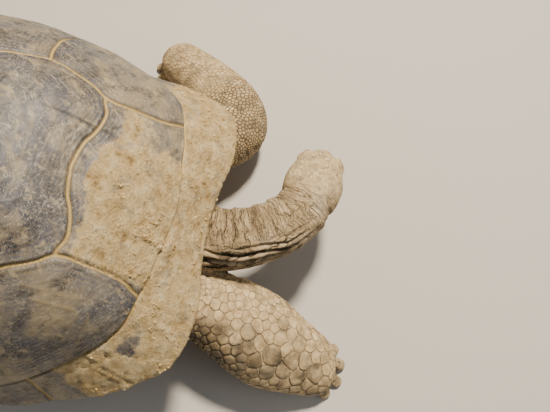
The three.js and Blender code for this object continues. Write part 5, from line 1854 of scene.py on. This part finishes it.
def scatterTree(material):
    tree = bpy.data.node_groups.new("scatter crumbs", "GeometryNodeTree")
    names = {"Ground": "Geometry", "Crumb": "Object", "Most Per Square Metre": "Float"}
    for name, kind in names.items():
        tree.interface.new_socket(name, in_out="INPUT", socket_type=f"NodeSocket{kind}")
    tree.interface.new_socket("Crumbs", in_out="OUTPUT", socket_type="NodeSocketGeometry")
    shaping, value, plain = (partial(addNode, tree, family) for family in ("GeometryNode", "ShaderNode", ""))
    ground, crumb, most = (plain("NodeGroupInput", out=name) for name in names)
    muddy = shaping("InputNamedAttribute", {"Name": "crumbChance"}, out="Attribute", data_type="FLOAT")
    density = value("Math", {0: muddy, 1: most}, operation="MULTIPLY")
    points = shaping("DistributePointsOnFaces", {"Mesh": ground, "Density": density, "Seed": crumbs["seed"]})
    shape = shaping("ObjectInfo", {"Object": crumb}, out="Geometry")
    share = plain("FunctionNodeRandomValue", {"Seed": 3}, out=1, data_type="FLOAT")
    rarely = value("Math", {0: share, 1: 3.0}, operation="POWER")  # most crumbs are small
    scale = value("MapRange", {"Value": rarely, "To Min": crumbs["smallest"], "To Max": crumbs["largest"]})
    turn = plain("FunctionNodeRandomValue", {"Max": [math.tau] * 3, "Seed": 9}, data_type="FLOAT_VECTOR")
    inputs = {"Points": points, "Instance": shape, "Rotation": turn, "Scale": scale}
    real = shaping("RealizeInstances", {"Geometry": shaping("InstanceOnPoints", inputs)})
    done = shaping("SetMaterial", {"Geometry": real, "Material": material})
    tree.links.new(done, tree.nodes.new("NodeGroupOutput").inputs["Crumbs"])
    return tree


def buildCrumbs(ground, material):
    crumb = crumbShape(material)
    tree = scatterTree(material)
    made = newObject("mudCrumbs", ground.data.copy())
    scatter = made.modifiers.new("scatter crumbs", "NODES")
    scatter.node_group = tree
    keys = {item.name: item.identifier for item in tree.interface.items_tree if item.in_out == "INPUT"}
    scatter[keys["Crumb"]] = crumb
    scatter[keys["Most Per Square Metre"]] = float(crumbs["most"])
    settled(made)
    bpy.data.objects.remove(crumb)
    print("crumbs", len(made.data.polygons))
    return made


mudMaterial = driedMud()
for number, ground in enumerate((shellPieces[0], shellPieces[2])):
    piece = buildCrumbs(ground, mudMaterial)
    piece.name = f"mudCrumbs_{number + 1}"
    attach(piece, "root")
print("crumbs built")


def addLight(name, place, aim, size, power, tone):
    data = bpy.data.lights.new(name, "AREA")
    data.shape = "DISK"
    data.size = size
    data.energy = power
    data.color = linear(tone)[:3]
    made = newObject(name, data)
    way = Vector(aim) - Vector(place)
    made.matrix_world = Matrix.Translation(place) @ way.to_track_quat("-Z", "Y").to_matrix().to_4x4()


stage = {
    "halfFloor": 6000,  # mm
    "sky": ("#c9cdd2", 0.2),  # colour and strength
    # place and aim in m, width in m, power in W, colour
    "lights": {
        "key": ((1.4, -0.9, 3.1), (0, -0.3, 0.2), 0.45, 205, "#fff1dc"),
        "fill": ((-0.4, -2.8, 2.4), (0, -0.3, 0.2), 2.5, 13, "#e8f0ff"),
        "back": ((-1.2, 2.8, 2.2), (0, 0.2, 0.3), 2.0, 20, "#ffffff"),
    },
}


def buildStage():
    half = stage["halfFloor"]
    corners = [(-half, -half, 0), (half, -half, 0), (half, half, 0), (-half, half, 0)]
    floor = meshObject("studioFloor", corners, [(0, 1, 2, 3)], paleFloor())
    for name, values in stage["lights"].items():
        addLight(name, *values)
    world = bpy.data.worlds.new("studio")
    world.use_nodes = True
    tone, strength = stage["sky"]
    background = world.node_tree.nodes["Background"].inputs
    setInputs(world.node_tree, background, {"Color": tone, "Strength": strength})
    bpy.context.scene.world = world


buildStage()
print("stage set")
